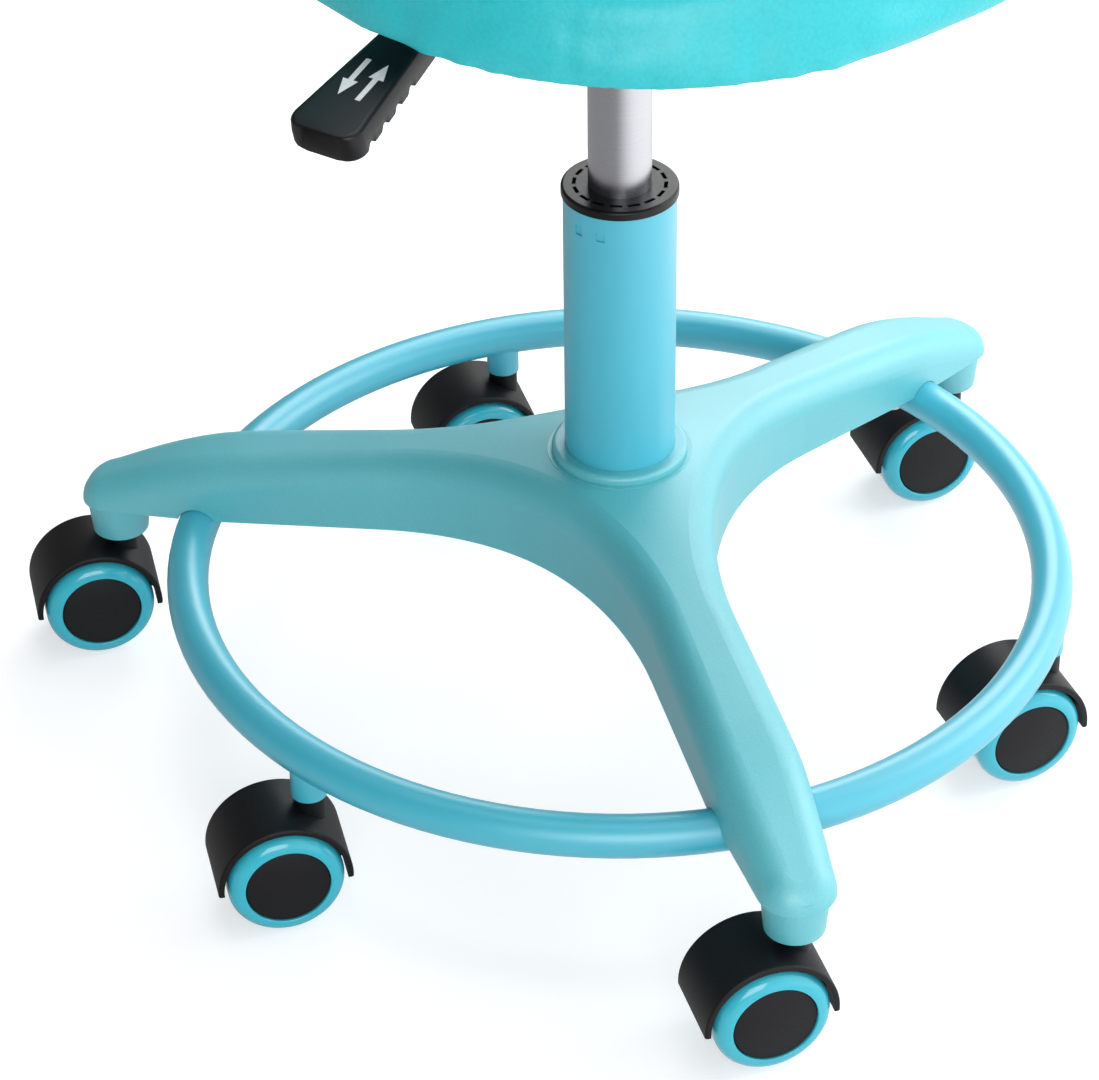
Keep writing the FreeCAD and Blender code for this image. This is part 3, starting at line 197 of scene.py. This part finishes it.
def as_piece(form, name, material=None):
    """Make an object of a bmesh, with its faces looking outward."""
    bmesh.ops.recalc_face_normals(form, faces=form.faces)
    mesh = bpy.data.meshes.new(name)
    form.to_mesh(mesh)
    form.free()
    if material:
        mesh.materials.append(material)
    piece = bpy.data.objects.new(name, mesh)
    bpy.context.collection.objects.link(piece)
    return piece


def skin(name, rings, place, closed=True):
    """A skin through rings of points, put in place by a matrix: capped, or joined end to end."""
    form = bmesh.new()
    rows = [[form.verts.new(place @ Vector(point)) for point in ring] for ring in rings]
    pairs = list(zip(rows, rows[1:]))
    if not closed:
        pairs.append((rows[-1], rows[0]))
    for low, high in pairs:
        for i in range(len(low)):
            j = (i + 1) % len(low)
            form.faces.new((low[i], low[j], high[j], high[i]))
    if closed:
        form.faces.new(rows[0])
        form.faces.new(rows[-1])
    return as_piece(form, name)


def rounded(corners, steps=10):
    """A profile through square (radius, along, rounding) corners, each rounded one as an arc."""
    profile = []
    for i, (r, z, rounding) in enumerate(corners):
        here = Vector((r, z))
        before = (Vector(corners[i - 1][:2]) - here).normalized()
        after = (Vector(corners[(i + 1) % len(corners)][:2]) - here).normalized()
        if rounding == 0:
            profile.append((r, z))
            continue
        centre = here + (before + after) * rounding
        for step in range(steps + 1):
            a = math.pi / 2 * step / steps
            across = after * math.cos(a) + before * math.sin(a)
            profile.append(tuple(centre - across * rounding))
    return profile


def turned(name, profile, place, closed, around=96):
    """A skin turned about local z from (radius, along) points."""
    turns = [2 * math.pi * k / around for k in range(around)]
    rings = [[(r * math.cos(a), r * math.sin(a), z) for a in turns] for r, z in profile]
    piece = skin(name, rings, place, closed)
    piece.data.shade_smooth()
    piece.data.set_sharp_from_angle(angle=math.radians(35))
    return piece


# radius and distance along the axle from the caster's middle, in metres: the core is an open cup
# with a boss for the axle, and the tread has a full outer shoulder
CORE = [(0.0031, 0.0141), (0.0031, 0.0042), (0.0065, 0.0042), (0.0065, 0.0181), (0.0165, 0.0181),
        (0.0165, 0.0052), (0.0189, 0.0052), (0.0189, 0.0196), (0.0186, 0.0202), (0.0179, 0.0206)]
TREAD = rounded([(0.01894, 0.0052, 0), (0.0260, 0.0052, 0.0020), (0.0260, 0.0211, 0.0064),
                 (0.01894, 0.0211, 0.0006)])
for number in CASTERS:
    middles = {}
    for side in "ab":
        low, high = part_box(f"caster_{number}_tyre_{side}")
        middles[side] = (low + high) / 2
    axle = (middles["a"] + middles["b"]) / 2
    for side in "ab":
        outward = (middles[side] - axle).to_track_quat("Z", "Y").to_matrix().to_4x4()
        wheel_place = Matrix.Translation(axle) @ outward
        wheel_core = turned(f"caster_{number}_core_{side}", CORE, wheel_place, True)
        wheel_core.data.materials.append(core_nylon)
        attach(wheel_core, f"wheel_{number}{side}")
        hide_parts(f"caster_{number}_hub_{side}")
        wheel_tread = turned(f"caster_{number}_tread_{side}", TREAD, wheel_place, False)
        wheel_tread.data.materials.append(tread)
        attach(wheel_tread, f"wheel_{number}{side}")
        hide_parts(f"caster_{number}_tyre_{side}")

# Seat plate and back bar
# Pressed and bent mild steel in a black powder coat with a fine wrinkle, screwed
# under the seat's board. The lift's rubber buffer shows the same dull black.
black_coat, tree, shader, place = new_finish("black_powder_coat", IOR=1.38)
wrinkle = add(tree, "ShaderNodeTexNoise", {"Vector": place, "Scale": 1 / 0.0016, "Detail": 2.0})
tone = add(tree, "ShaderNodeMix", {"Factor": wrinkle.outputs["Fac"], 6: linear("#0a0a0b"),
                                   7: linear("#121214")}, data_type="RGBA").outputs[2]
gloss = add(tree, "ShaderNodeMapRange", {"Value": wrinkle.outputs["Fac"], "To Min": 0.34, "To Max": 0.5})
relief = add(tree, "ShaderNodeBump", {"Height": wrinkle.outputs["Fac"], "Strength": 0.2, "Distance": 0.0003})
wire(tree, shader, tone, gloss, relief)
paint(black_coat, "seat_plate", "back_bar", "rubber_buffer")

# Seat pad
# Foam on the board under a leatherette cover, pulled down and stapled below.
# The cover is PVC-coated knit with a pebble grain rolled into its skin.
leatherette, tree, shader, place = new_finish("turquoise_leatherette", IOR=1.45, Coat_Weight=0.5,
                                              Coat_Roughness=0.5, Coat_IOR=1.55)
pebble = add(tree, "ShaderNodeTexVoronoi", {"Vector": place, "Scale": 1 / 0.0015, "Randomness": 1.0},
             feature="SMOOTH_F1")
creases = add(tree, "ShaderNodeTexNoise", {"Vector": place, "Scale": 1 / 0.006, "Detail": 4.0})
drift = add(tree, "ShaderNodeTexNoise", {"Vector": place, "Scale": 1 / 0.07, "Detail": 2.0})
height = add(tree, "ShaderNodeMath", {0: pebble.outputs["Distance"], 1: creases.outputs["Fac"]},
             operation="SUBTRACT")
tone = add(tree, "ShaderNodeMix", {"Factor": drift.outputs["Fac"], 6: linear("#16bac4"),
                                   7: linear("#22c5ce")}, data_type="RGBA").outputs[2]
# painted shade: the grain's grooves are painted darker and the tops of its pebbles a little lighter
painted_groove_shade = add(tree, "ShaderNodeMapRange", {"Value": pebble.outputs["Distance"], "From Max": 0.8, "To Min": 1.03,
                                        "To Max": 0.9})
tint = add(tree, "ShaderNodeMix", {"Factor": 1.0, 6: tone, 7: painted_groove_shade.outputs["Result"]},
           data_type="RGBA", blend_type="MULTIPLY")
gloss = add(tree, "ShaderNodeMapRange", {"Value": creases.outputs["Fac"], "To Min": 0.36, "To Max": 0.52})
relief = add(tree, "ShaderNodeBump", {"Height": height.outputs["Value"], "Strength": 0.22,
                                      "Distance": 0.0004}, invert=True)
wire(tree, shader, tint.outputs[2], gloss, relief)


def rounded_square(half_x, half_y, corner, inset=0.0, steps=14):
    """Plan of a pad: a rectangle with very large round corners, as points in turn."""
    points = []
    for side_x, side_y, start in ((1, 1, 0), (-1, 1, 90), (-1, -1, 180), (1, -1, 270)):
        for step in range(steps + 1):
            a = math.radians(start + 90 * step / steps)
            points.append((side_x * (half_x - corner) + (corner - inset) * math.cos(a),
                           side_y * (half_y - corner) + (corner - inset) * math.sin(a)))
    return points


def settle(piece):
    """Turn a piece's modifiers into its plain mesh."""
    bpy.context.view_layer.update()
    done = bpy.data.meshes.new_from_object(piece.evaluated_get(bpy.context.evaluated_depsgraph_get()))
    piece.modifiers.clear()
    old, piece.data = piece.data, done
    bpy.data.meshes.remove(old)


COVER_MOMENTS = 20


def upholster(piece, voxel, pressure, cap, held):
    """Swell a pad's start shape as a tight cover over foam; points that held picks stay put."""
    remesh = piece.modifiers.new("even_cover", "REMESH")
    remesh.mode = "VOXEL"
    remesh.voxel_size = voxel
    settle(piece)
    start = [point.co.copy() for point in piece.data.vertices]
    group = piece.vertex_groups.new(name="stapled")
    group.add([i for i, point in enumerate(start) if held(point)], 1.0, "REPLACE")
    cloth = piece.modifiers.new("cover", "CLOTH")
    cloth.settings.vertex_group_mass = "stapled"
    cloth.settings.use_pressure = True
    cloth.settings.uniform_pressure_force = pressure
    cloth.settings.effector_weights.gravity = 0.0
    even = piece.modifiers.new("even", "SMOOTH")
    even.factor = 0.5
    even.iterations = 14
    even.vertex_group = "stapled"
    even.invert_vertex_group = True
    for moment in range(1, COVER_MOMENTS + 1):
        bpy.context.scene.frame_set(moment)
    settle(piece)
    bpy.context.scene.frame_set(1)
    piece.vertex_groups.clear()
    for point, rest in zip(piece.data.vertices, start):
        moved = point.co - rest
        if moved.length > cap:
            point.co = rest + moved.normalized() * cap
    smooth = piece.modifiers.new("soft", "SUBSURF")
    smooth.levels = 1
    smooth.render_levels = 1
    settle(piece)
    piece.data.shade_smooth()


# (inset, height) rings of the start shape, a little inside the finished pad; the board is let in below
SEAT = dict(half_x=0.173, half_y=0.177, corner=0.152)
seat_profile = ((0.0135, 0.0105), (0.0135, 0.0003), (0.0030, 0.0001), (0.0008, 0.0022), (0.0002, 0.0070),
                (0.0002, 0.0190), (0.0012, 0.0280), (0.0045, 0.0355), (0.0115, 0.0415), (0.0250, 0.0450),
                (0.0500, 0.0468), (0.0900, 0.0476), (0.1300, 0.0478))
seat_low, seat_forward = 0.4345, 0.020
seat_place = Matrix.Translation((0.0, -seat_forward, seat_low))
seat_pad = skin("seat_pad", [[(x, y, z) for x, y in rounded_square(inset=inset, **SEAT)]
                             for inset, z in seat_profile], seat_place)
stapled_height = 0.0030
upholster(seat_pad, voxel=0.005, pressure=4.0, cap=0.006,
          held=lambda point: point.z < seat_low + stapled_height)

# pleats where the cover is gathered round the corners before it is stapled: angle in degrees,
# depth in metres and half-width in radians
pleat_top, pleat_fade = 0.038, 0.030
for angle, depth, spread in ((-62.0, 0.0012, 0.05), (-78.0, 0.0007, 0.04), (-118.0, 0.0009, 0.05),
                             (-140.0, 0.0006, 0.04), (52.0, 0.0010, 0.05), (128.0, 0.0009, 0.05),
                             (-35.0, 0.0007, 0.04), (150.0, 0.0006, 0.04)):
    for point in seat_pad.data.vertices:
        x, y, z = seat_place.inverted() @ point.co
        away = math.radians(angle) - math.atan2(y, x)
        away = (away + math.pi) % (2 * math.pi) - math.pi
        if abs(away) < spread and z < pleat_top:
            fall = math.cos(away / spread * math.pi / 2) ** 2 * min(1.0, (pleat_top - z) / pleat_fade)
            push = depth * fall / math.hypot(x, y)
            point.co.x -= x * push
            point.co.y -= y * push
seat_pad.data.materials.clear()
seat_pad.data.materials.append(leatherette)
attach(seat_pad, "seat")
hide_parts("seat_cushion")

# Seat underside
# The cover's edge is folded under the board and stapled, and a black spunbond
# cloth hides the plywood, as under most such seats.
spunbond, tree, shader, place = new_finish("black_spunbond_cloth", Roughness=0.9)
fibres = add(tree, "ShaderNodeTexVoronoi", {"Vector": place, "Scale": 1 / 0.0016})
tone = add(tree, "ShaderNodeMix", {"Factor": fibres.outputs["Distance"], 6: linear("#1a1a1b"),
                                   7: linear("#2c2c2e")}, data_type="RGBA").outputs[2]
relief = add(tree, "ShaderNodeBump", {"Height": fibres.outputs["Distance"], "Strength": 0.3,
                                      "Distance": 0.0002})
wire(tree, shader, tone, relief=relief)
paint(spunbond, "seat_board")


def hem(name, plan, low, high, outer, inner, place, gap):
    """The folded edge of a cover: a flat band under the board, left open where a bar crosses it."""
    outer_edge = rounded_square(inset=outer, steps=28, **plan)
    inner_edge = rounded_square(inset=inner, steps=28, **plan)
    form = bmesh.new()
    count = len(outer_edge)
    for i in range(count):
        j = (i + 1) % count
        corners = []
        for n in (i, j):
            # the cut edge wanders by up to a fiftieth
            wave = 1.0 + 0.012 * math.sin(n * 1.7) + 0.008 * math.sin(n * 4.1)
            corners.append((outer_edge[n], (inner_edge[n][0] * wave, inner_edge[n][1] * wave)))
        if gap(*outer_edge[i]) or gap(*outer_edge[j]):
            continue
        (a, b), (d, c) = corners
        flat = [form.verts.new(place @ Vector((x, y, z))) for z in (low, high) for x, y in (a, b, c, d)]
        for face in ((0, 1, 2, 3), (7, 6, 5, 4), (0, 4, 5, 1), (1, 5, 6, 2), (2, 6, 7, 3), (3, 7, 4, 0)):
            form.faces.new([flat[k] for k in face])
    bmesh.ops.remove_doubles(form, verts=form.verts, dist=0.00001)
    # the end faces that neighbouring lengths share lie inside the band
    inside = [face for face in form.faces if any(
        other is not face and set(other.verts) == set(face.verts)
        for vert in face.verts for other in vert.link_faces)]
    bmesh.ops.delete(form, geom=list(set(inside)), context="FACES_ONLY")
    return as_piece(form, name, leatherette)


hem_gap = 0.028
seat_hem = hem("seat_hem", SEAT, low=-0.0007, high=0.0, outer=0.0142, inner=0.036, place=seat_place,
               gap=lambda x, y: abs(x) < hem_gap and y > 0)
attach(seat_hem, "seat")

# staples of 0.9 mm wire with a 10 mm crown, about every 19 mm along the folded edge
stapled = bpy.data.node_groups.new("stapled_edge", "GeometryNodeTree")
stapled.interface.new_socket("Geometry", in_out="INPUT", socket_type="NodeSocketGeometry")
inputs = {}
for name, kind, value in (("Staples", "NodeSocketInt", 48), ("Crown", "NodeSocketFloat", 0.010),
                          ("Wire", "NodeSocketFloat", 0.0009)):
    inputs[name] = stapled.interface.new_socket(name, in_out="INPUT", socket_type=kind).identifier, value
stapled.interface.new_socket("Geometry", in_out="OUTPUT", socket_type="NodeSocketGeometry")
given = add(stapled, "NodeGroupInput")
path = add(stapled, "GeometryNodeMeshToCurve", {"Mesh": given.outputs["Geometry"]})
spots = add(stapled, "GeometryNodeCurveToPoints", {"Curve": path.outputs["Curve"],
                                                   "Count": given.outputs["Staples"]}, mode="COUNT")
size = add(stapled, "ShaderNodeCombineXYZ", {"X": given.outputs["Wire"], "Y": given.outputs["Wire"],
                                             "Z": given.outputs["Crown"]})
crown = add(stapled, "GeometryNodeMeshCube", {"Size": size.outputs["Vector"]})
driven = add(stapled, "GeometryNodeInstanceOnPoints", {"Points": spots.outputs["Points"],
                                                       "Instance": crown.outputs["Mesh"],
                                                       "Rotation": spots.outputs["Rotation"]})
real = add(stapled, "GeometryNodeRealizeInstances", {"Geometry": driven.outputs["Instances"]})
plated = add(stapled, "GeometryNodeSetMaterial", {"Geometry": real.outputs["Geometry"], "Material": zinc})
add(stapled, "NodeGroupOutput", {"Geometry": plated.outputs["Geometry"]})

staple_low, staple_inset, bar_clear = -0.0009, 0.025, 0.034
row = [seat_place @ Vector((x, y, staple_low)) for x, y in rounded_square(inset=staple_inset, **SEAT)]
row = [point for point in row if not (abs(point.x) < bar_clear and point.y > 0)]
first = max(range(len(row)), key=lambda n: (row[n] - row[n - 1]).length if row[n].y > 0 else 0.0)
row = row[first:] + row[:first]
row_mesh = bpy.data.meshes.new("seat_staples")
row_mesh.from_pydata(row, [(n, n + 1) for n in range(len(row) - 1)], [])
seat_staples = bpy.data.objects.new("seat_staples", row_mesh)
bpy.context.collection.objects.link(seat_staples)
driver = seat_staples.modifiers.new("staples", "NODES")
driver.node_group = stapled
for identifier, value in inputs.values():
    driver[identifier] = value
settle(seat_staples)
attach(seat_staples, "seat")

# Back pad
# The same cover over foam on a plywood board, screwed to a flat bar that comes
# up from under the seat; a welt closes the joint round the rear panel.
BACK = dict(half_x=0.165, half_y=0.1375, corner=0.112)
lean = math.radians(-9.0)
bend = 0.030
bar_rear, back_start = 0.150, 0.072
back_place = (Matrix.Translation((0.0, bar_rear + bend * math.cos(lean),
                                  seat_low + bend + bend * math.sin(lean)))
              @ Matrix.Rotation(lean, 4, "X")
              @ Matrix.Translation((0.0, 0.0, back_start + BACK["half_y"]))
              @ Matrix.Rotation(math.radians(90.0), 4, "X"))
back_profile = ((0.0135, 0.0085), (0.0135, 0.0006), (0.0065, 0.0004), (0.0022, 0.0030), (0.0006, 0.0090),
                (0.0004, 0.0180), (0.0014, 0.0280), (0.0060, 0.0350), (0.0140, 0.0395), (0.0290, 0.0418),
                (0.0550, 0.0425), (0.0850, 0.0428), (0.1050, 0.0428))
back_pad = skin("back_pad", [[(x, y, z) for x, y in rounded_square(inset=inset, **BACK)]
                             for inset, z in back_profile], back_place)
rear = back_place.inverted()
tacked_height = 0.0045
upholster(back_pad, voxel=0.005, pressure=4.0, cap=0.006,
          held=lambda point: (rear @ point).z < tacked_height)
back_pad.data.materials.clear()
back_pad.data.materials.append(leatherette)
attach(back_pad, "seat")
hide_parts("back_cushion")
paint(leatherette, "back_board")

welt_radius, welt_height, welt_inset = 0.0022, 0.0002, 0.0138
welt_turns = [math.radians(36 * k) for k in range(10)]
welt_path = rounded_square(inset=welt_inset, steps=24, **BACK)
welt_rings = []
for n, (x, y) in enumerate(welt_path):
    after = welt_path[(n + 1) % len(welt_path)]
    before = welt_path[n - 1]
    ahead = Vector((after[0] - before[0], after[1] - before[1], 0.0)).normalized()
    out = Vector((ahead.y, -ahead.x, 0.0))
    welt_rings.append([Vector((x, y, welt_height + welt_radius * math.sin(a)))
                       + out * (welt_radius * math.cos(a)) for a in welt_turns])
back_welt = skin("back_welt", welt_rings, back_place, closed=False)
back_welt.data.shade_smooth()
back_welt.data.materials.append(leatherette)
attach(back_welt, "seat")

# Lift lever
# Moulded paddle in satin black ABS, pushed on the bent rod, with finger grooves
# below. The mould was finely blasted, so the shine is broken a little.
lever_abs, tree, shader, place = new_finish("satin_black_abs", IOR=1.38)
grain = add(tree, "ShaderNodeTexNoise", {"Vector": place, "Scale": 1 / 0.0012, "Detail": 2.0})
tone = add(tree, "ShaderNodeMix", {"Factor": grain.outputs["Fac"], 6: linear("#09090b"),
                                   7: linear("#101013")}, data_type="RGBA").outputs[2]
gloss = add(tree, "ShaderNodeMapRange", {"Value": grain.outputs["Fac"], "To Min": 0.34, "To Max": 0.46})
relief = add(tree, "ShaderNodeBump", {"Height": grain.outputs["Fac"], "Strength": 0.12, "Distance": 0.0002})
wire(tree, shader, tone, gloss, relief)

# the paddle's own frame: x along the drooping end of the rod, z up
lever_height, lever_azimuth, lever_droop = 0.425, math.radians(198.5), math.radians(13.3)
bend_reach, bend_drop = 0.1379, 0.000805
tail = (Matrix.Translation((0.0, 0.0, lever_height)) @ Matrix.Rotation(lever_azimuth, 4, "Z")
        @ Matrix.Translation((bend_reach, 0.0, -bend_drop)) @ Matrix.Rotation(lever_droop, 4, "Y"))
paddle_start, paddle_length, paddle_steps = 0.004, 0.076, 152
root_half, flare, least_half = 0.009, 0.008, 0.004
tip_start, tip_round = 0.072, 0.008
grooves_start, grooves_end, groove_first = 0.030, 0.074, 0.0355
groove_pitch, groove_depth, groove_crest = 0.011, 0.0024, 0.7
top, bevel = 0.006, 0.0014
sections = []
for step in range(paddle_steps + 1):
    x = paddle_start + paddle_length / paddle_steps * step
    half = root_half + flare * (x - paddle_start) / paddle_length
    if x > tip_start:
        half = half - tip_round + math.sqrt(max(tip_round ** 2 - (x - tip_start) ** 2, 0.0))
    half = max(half, least_half)
    groove = 0.0
    if grooves_start < x < grooves_end:
        wave = math.cos((x - groove_first) / groove_pitch * 2 * math.pi)
        groove = groove_depth * max(0.0, wave) ** groove_crest
    low = groove - top
    ring = [(half - 0.0006, top - bevel), (half - bevel, top - 0.0002), (half - 0.003, top),
            (-half + 0.003, top), (-half + bevel, top - 0.0002), (-half + 0.0006, top - bevel),
            (-half, 0.0), (-half, low + 0.0015), (-half + 0.0005, low + 0.0004), (-half + 0.002, low),
            (half - 0.002, low), (half - 0.0005, low + 0.0004), (half, low + 0.0015), (half, 0.0)]
    sections.append([(x, y, z) for y, z in ring])
lever_paddle = skin("lever_paddle_moulding", sections, tail)
lever_paddle.data.shade_smooth()
lever_paddle.data.materials.append(lever_abs)
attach(lever_paddle, "lever")
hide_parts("lever_paddle")

# two printed arrows, up and down, in white ink on the paddle's top
ink, tree, shader, place = new_finish("screen_printed_white_ink", Roughness=0.5)
patch = add(tree, "ShaderNodeTexNoise", {"Vector": place, "Scale": 1 / 0.002, "Detail": 2.0})
tone = add(tree, "ShaderNodeMix", {"Factor": patch.outputs["Fac"], 6: linear("#c9ccce"),
                                   7: linear("#eceeef")}, data_type="RGBA").outputs[2]
wire(tree, shader, tone)
arrow = [(0.011, 0.0), (0.002, -0.0034), (0.002, -0.0012), (-0.011, -0.0012), (-0.011, 0.0012),
         (0.002, 0.0012), (0.002, 0.0034)]
arrows_along, ink_low, ink_top = 0.048, 0.00595, 0.00606
form = bmesh.new()
for offset, heading in ((-0.0045, 1), (0.0045, -1)):
    faces = [[form.verts.new(tail @ Vector((arrows_along + heading * x, offset + y, z))) for x, y in arrow]
             for z in (ink_low, ink_top)]
    form.faces.new(faces[0])
    form.faces.new(faces[1])
    for i in range(len(arrow)):
        j = (i + 1) % len(arrow)
        form.faces.new((faces[0][i], faces[0][j], faces[1][j], faces[1][i]))
lever_arrows = as_piece(form, "lever_arrows", ink)
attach(lever_arrows, "lever")

# Studio
# White floor that fades to plain white further out, soft lamps left, right, above
# and behind, a room that is brighter on the camera's right, and the camera.
camera_turn = math.radians(-40.0)
RIGHT = (math.cos(camera_turn), math.sin(camera_turn), 0.0)
floor_half = 12.0
floor_mesh = bpy.data.meshes.new("studio_floor")
floor_form = bmesh.new()
bmesh.ops.create_grid(floor_form, x_segments=1, y_segments=1, size=floor_half)
floor_form.to_mesh(floor_mesh)
floor_form.free()
floor = bpy.data.objects.new("studio_floor", floor_mesh)
bpy.context.collection.objects.link(floor)
paper, tree, shader, place = new_finish("white_studio_paper", Base_Color=linear("#f2f3f5"), Roughness=0.9,
                                        Specular_IOR_Level=0.1)
# the camera sees plain white from 1.5 m out and the shadow nearer in; gloss sees a floor that is
# brighter on the camera's right
shadow_to, white_from = 0.5, 1.5
seen = add(tree, "ShaderNodeLightPath")
direct = add(tree, "ShaderNodeMath", {0: seen.outputs["Is Camera Ray"],
                                      1: seen.outputs["Is Transmission Ray"]}, operation="MAXIMUM")
away = add(tree, "ShaderNodeVectorMath", {0: place}, operation="LENGTH")
blank = add(tree, "ShaderNodeMapRange", {"Value": away.outputs["Value"], "From Min": shadow_to,
                                         "From Max": white_from, "To Min": 0.35, "To Max": 1.0})
lit = add(tree, "ShaderNodeMapRange", {"Value": away.outputs["Value"], "From Min": shadow_to,
                                       "From Max": white_from, "To Min": 1.6, "To Max": 1.0})
part = add(tree, "ShaderNodeMath", {0: direct.outputs["Value"], 1: blank.outputs["Result"]},
           operation="MULTIPLY")
share = add(tree, "ShaderNodeMath", {0: part.outputs["Value"], 1: seen.outputs["Is Glossy Ray"]},
            operation="MAXIMUM")
aside = add(tree, "ShaderNodeVectorMath", {0: place, 1: RIGHT}, operation="DOT_PRODUCT")
mirrored = add(tree, "ShaderNodeMapRange", {"Value": aside.outputs["Value"], "From Min": -0.1,
                                            "From Max": 0.5, "To Min": 0.42, "To Max": 1.7})
bright = add(tree, "ShaderNodeMix", {"Factor": seen.outputs["Is Glossy Ray"], 2: lit.outputs["Result"],
                                     3: mirrored.outputs["Result"]})
glow = add(tree, "ShaderNodeEmission", {"Color": (1.0, 1.0, 1.0, 1.0), "Strength": bright.outputs[0]})
mix = add(tree, "ShaderNodeMixShader", {"Fac": share.outputs["Value"], 1: shader.outputs["BSDF"],
                                        2: glow.outputs["Emission"]})
tree.links.new(mix.outputs["Shader"], tree.nodes["Material Output"].inputs["Surface"])
floor_mesh.materials.append(paper)

world = bpy.data.worlds.new("studio_room")
bpy.context.scene.world = world
world.use_nodes = True
tree = world.node_tree
seen = add(tree, "ShaderNodeLightPath")
direct = add(tree, "ShaderNodeMath", {0: seen.outputs["Is Camera Ray"],
                                      1: seen.outputs["Is Transmission Ray"]}, operation="MAXIMUM")
way = add(tree, "ShaderNodeTexCoord").outputs["Generated"]
aside = add(tree, "ShaderNodeVectorMath", {0: way, 1: RIGHT}, operation="DOT_PRODUCT")
room = add(tree, "ShaderNodeMapRange", {"Value": aside.outputs["Value"], "From Min": -0.1, "From Max": 0.9,
                                        "To Min": 0.18, "To Max": 1.45})
level = add(tree, "ShaderNodeMapRange", {"Value": direct.outputs["Value"], "To Min": room.outputs["Result"],
                                         "To Max": 1.0})
backdrop = tree.nodes["Background"]
backdrop.inputs["Color"].default_value = (1.0, 1.0, 1.0, 1.0)
tree.links.new(level.outputs["Result"], backdrop.inputs["Strength"])

LAMP_TARGET = Vector((0.0, 0.0, 0.25))
for name, spot, size, power in (("left_softbox", (-1.2, -1.6, 1.0), 1.2, 20.0),
                                ("right_softbox", (1.05, -0.55, 0.8), 0.8, 6.0),
                                ("top_softbox", (0.3, 0.2, 2.4), 1.6, 22.0),
                                ("back_softbox", (0.95, 0.7, 0.95), 0.8, 9.0)):
    lamp = bpy.data.lights.new(name, "AREA")
    lamp.size = size
    lamp.energy = power
    lamp_object = bpy.data.objects.new(name, lamp)
    lamp_object.location = spot
    aim = LAMP_TARGET - Vector(spot)
    lamp_object.rotation_euler = aim.to_track_quat("-Z", "Y").to_euler()
    bpy.context.collection.objects.link(lamp_object)

camera = bpy.data.cameras.new("photo_camera")
camera.sensor_width = 36.0
camera.lens = 124.22
camera.shift_x = -0.0641
camera.clip_end = 50.0
photo_camera = bpy.data.objects.new("photo_camera", camera)
camera_reach, camera_height, camera_down = 1.4254, 1.1165, math.radians(35.76)
photo_camera.location = (camera_reach * math.sin(camera_turn), -camera_reach * math.cos(camera_turn),
                         camera_height)
photo_camera.rotation_euler = (math.radians(90.0) - camera_down, 0.0, camera_turn)
bpy.context.collection.objects.link(photo_camera)
bpy.context.scene.camera = photo_camera
bpy.context.scene.view_settings.view_transform = "Standard"
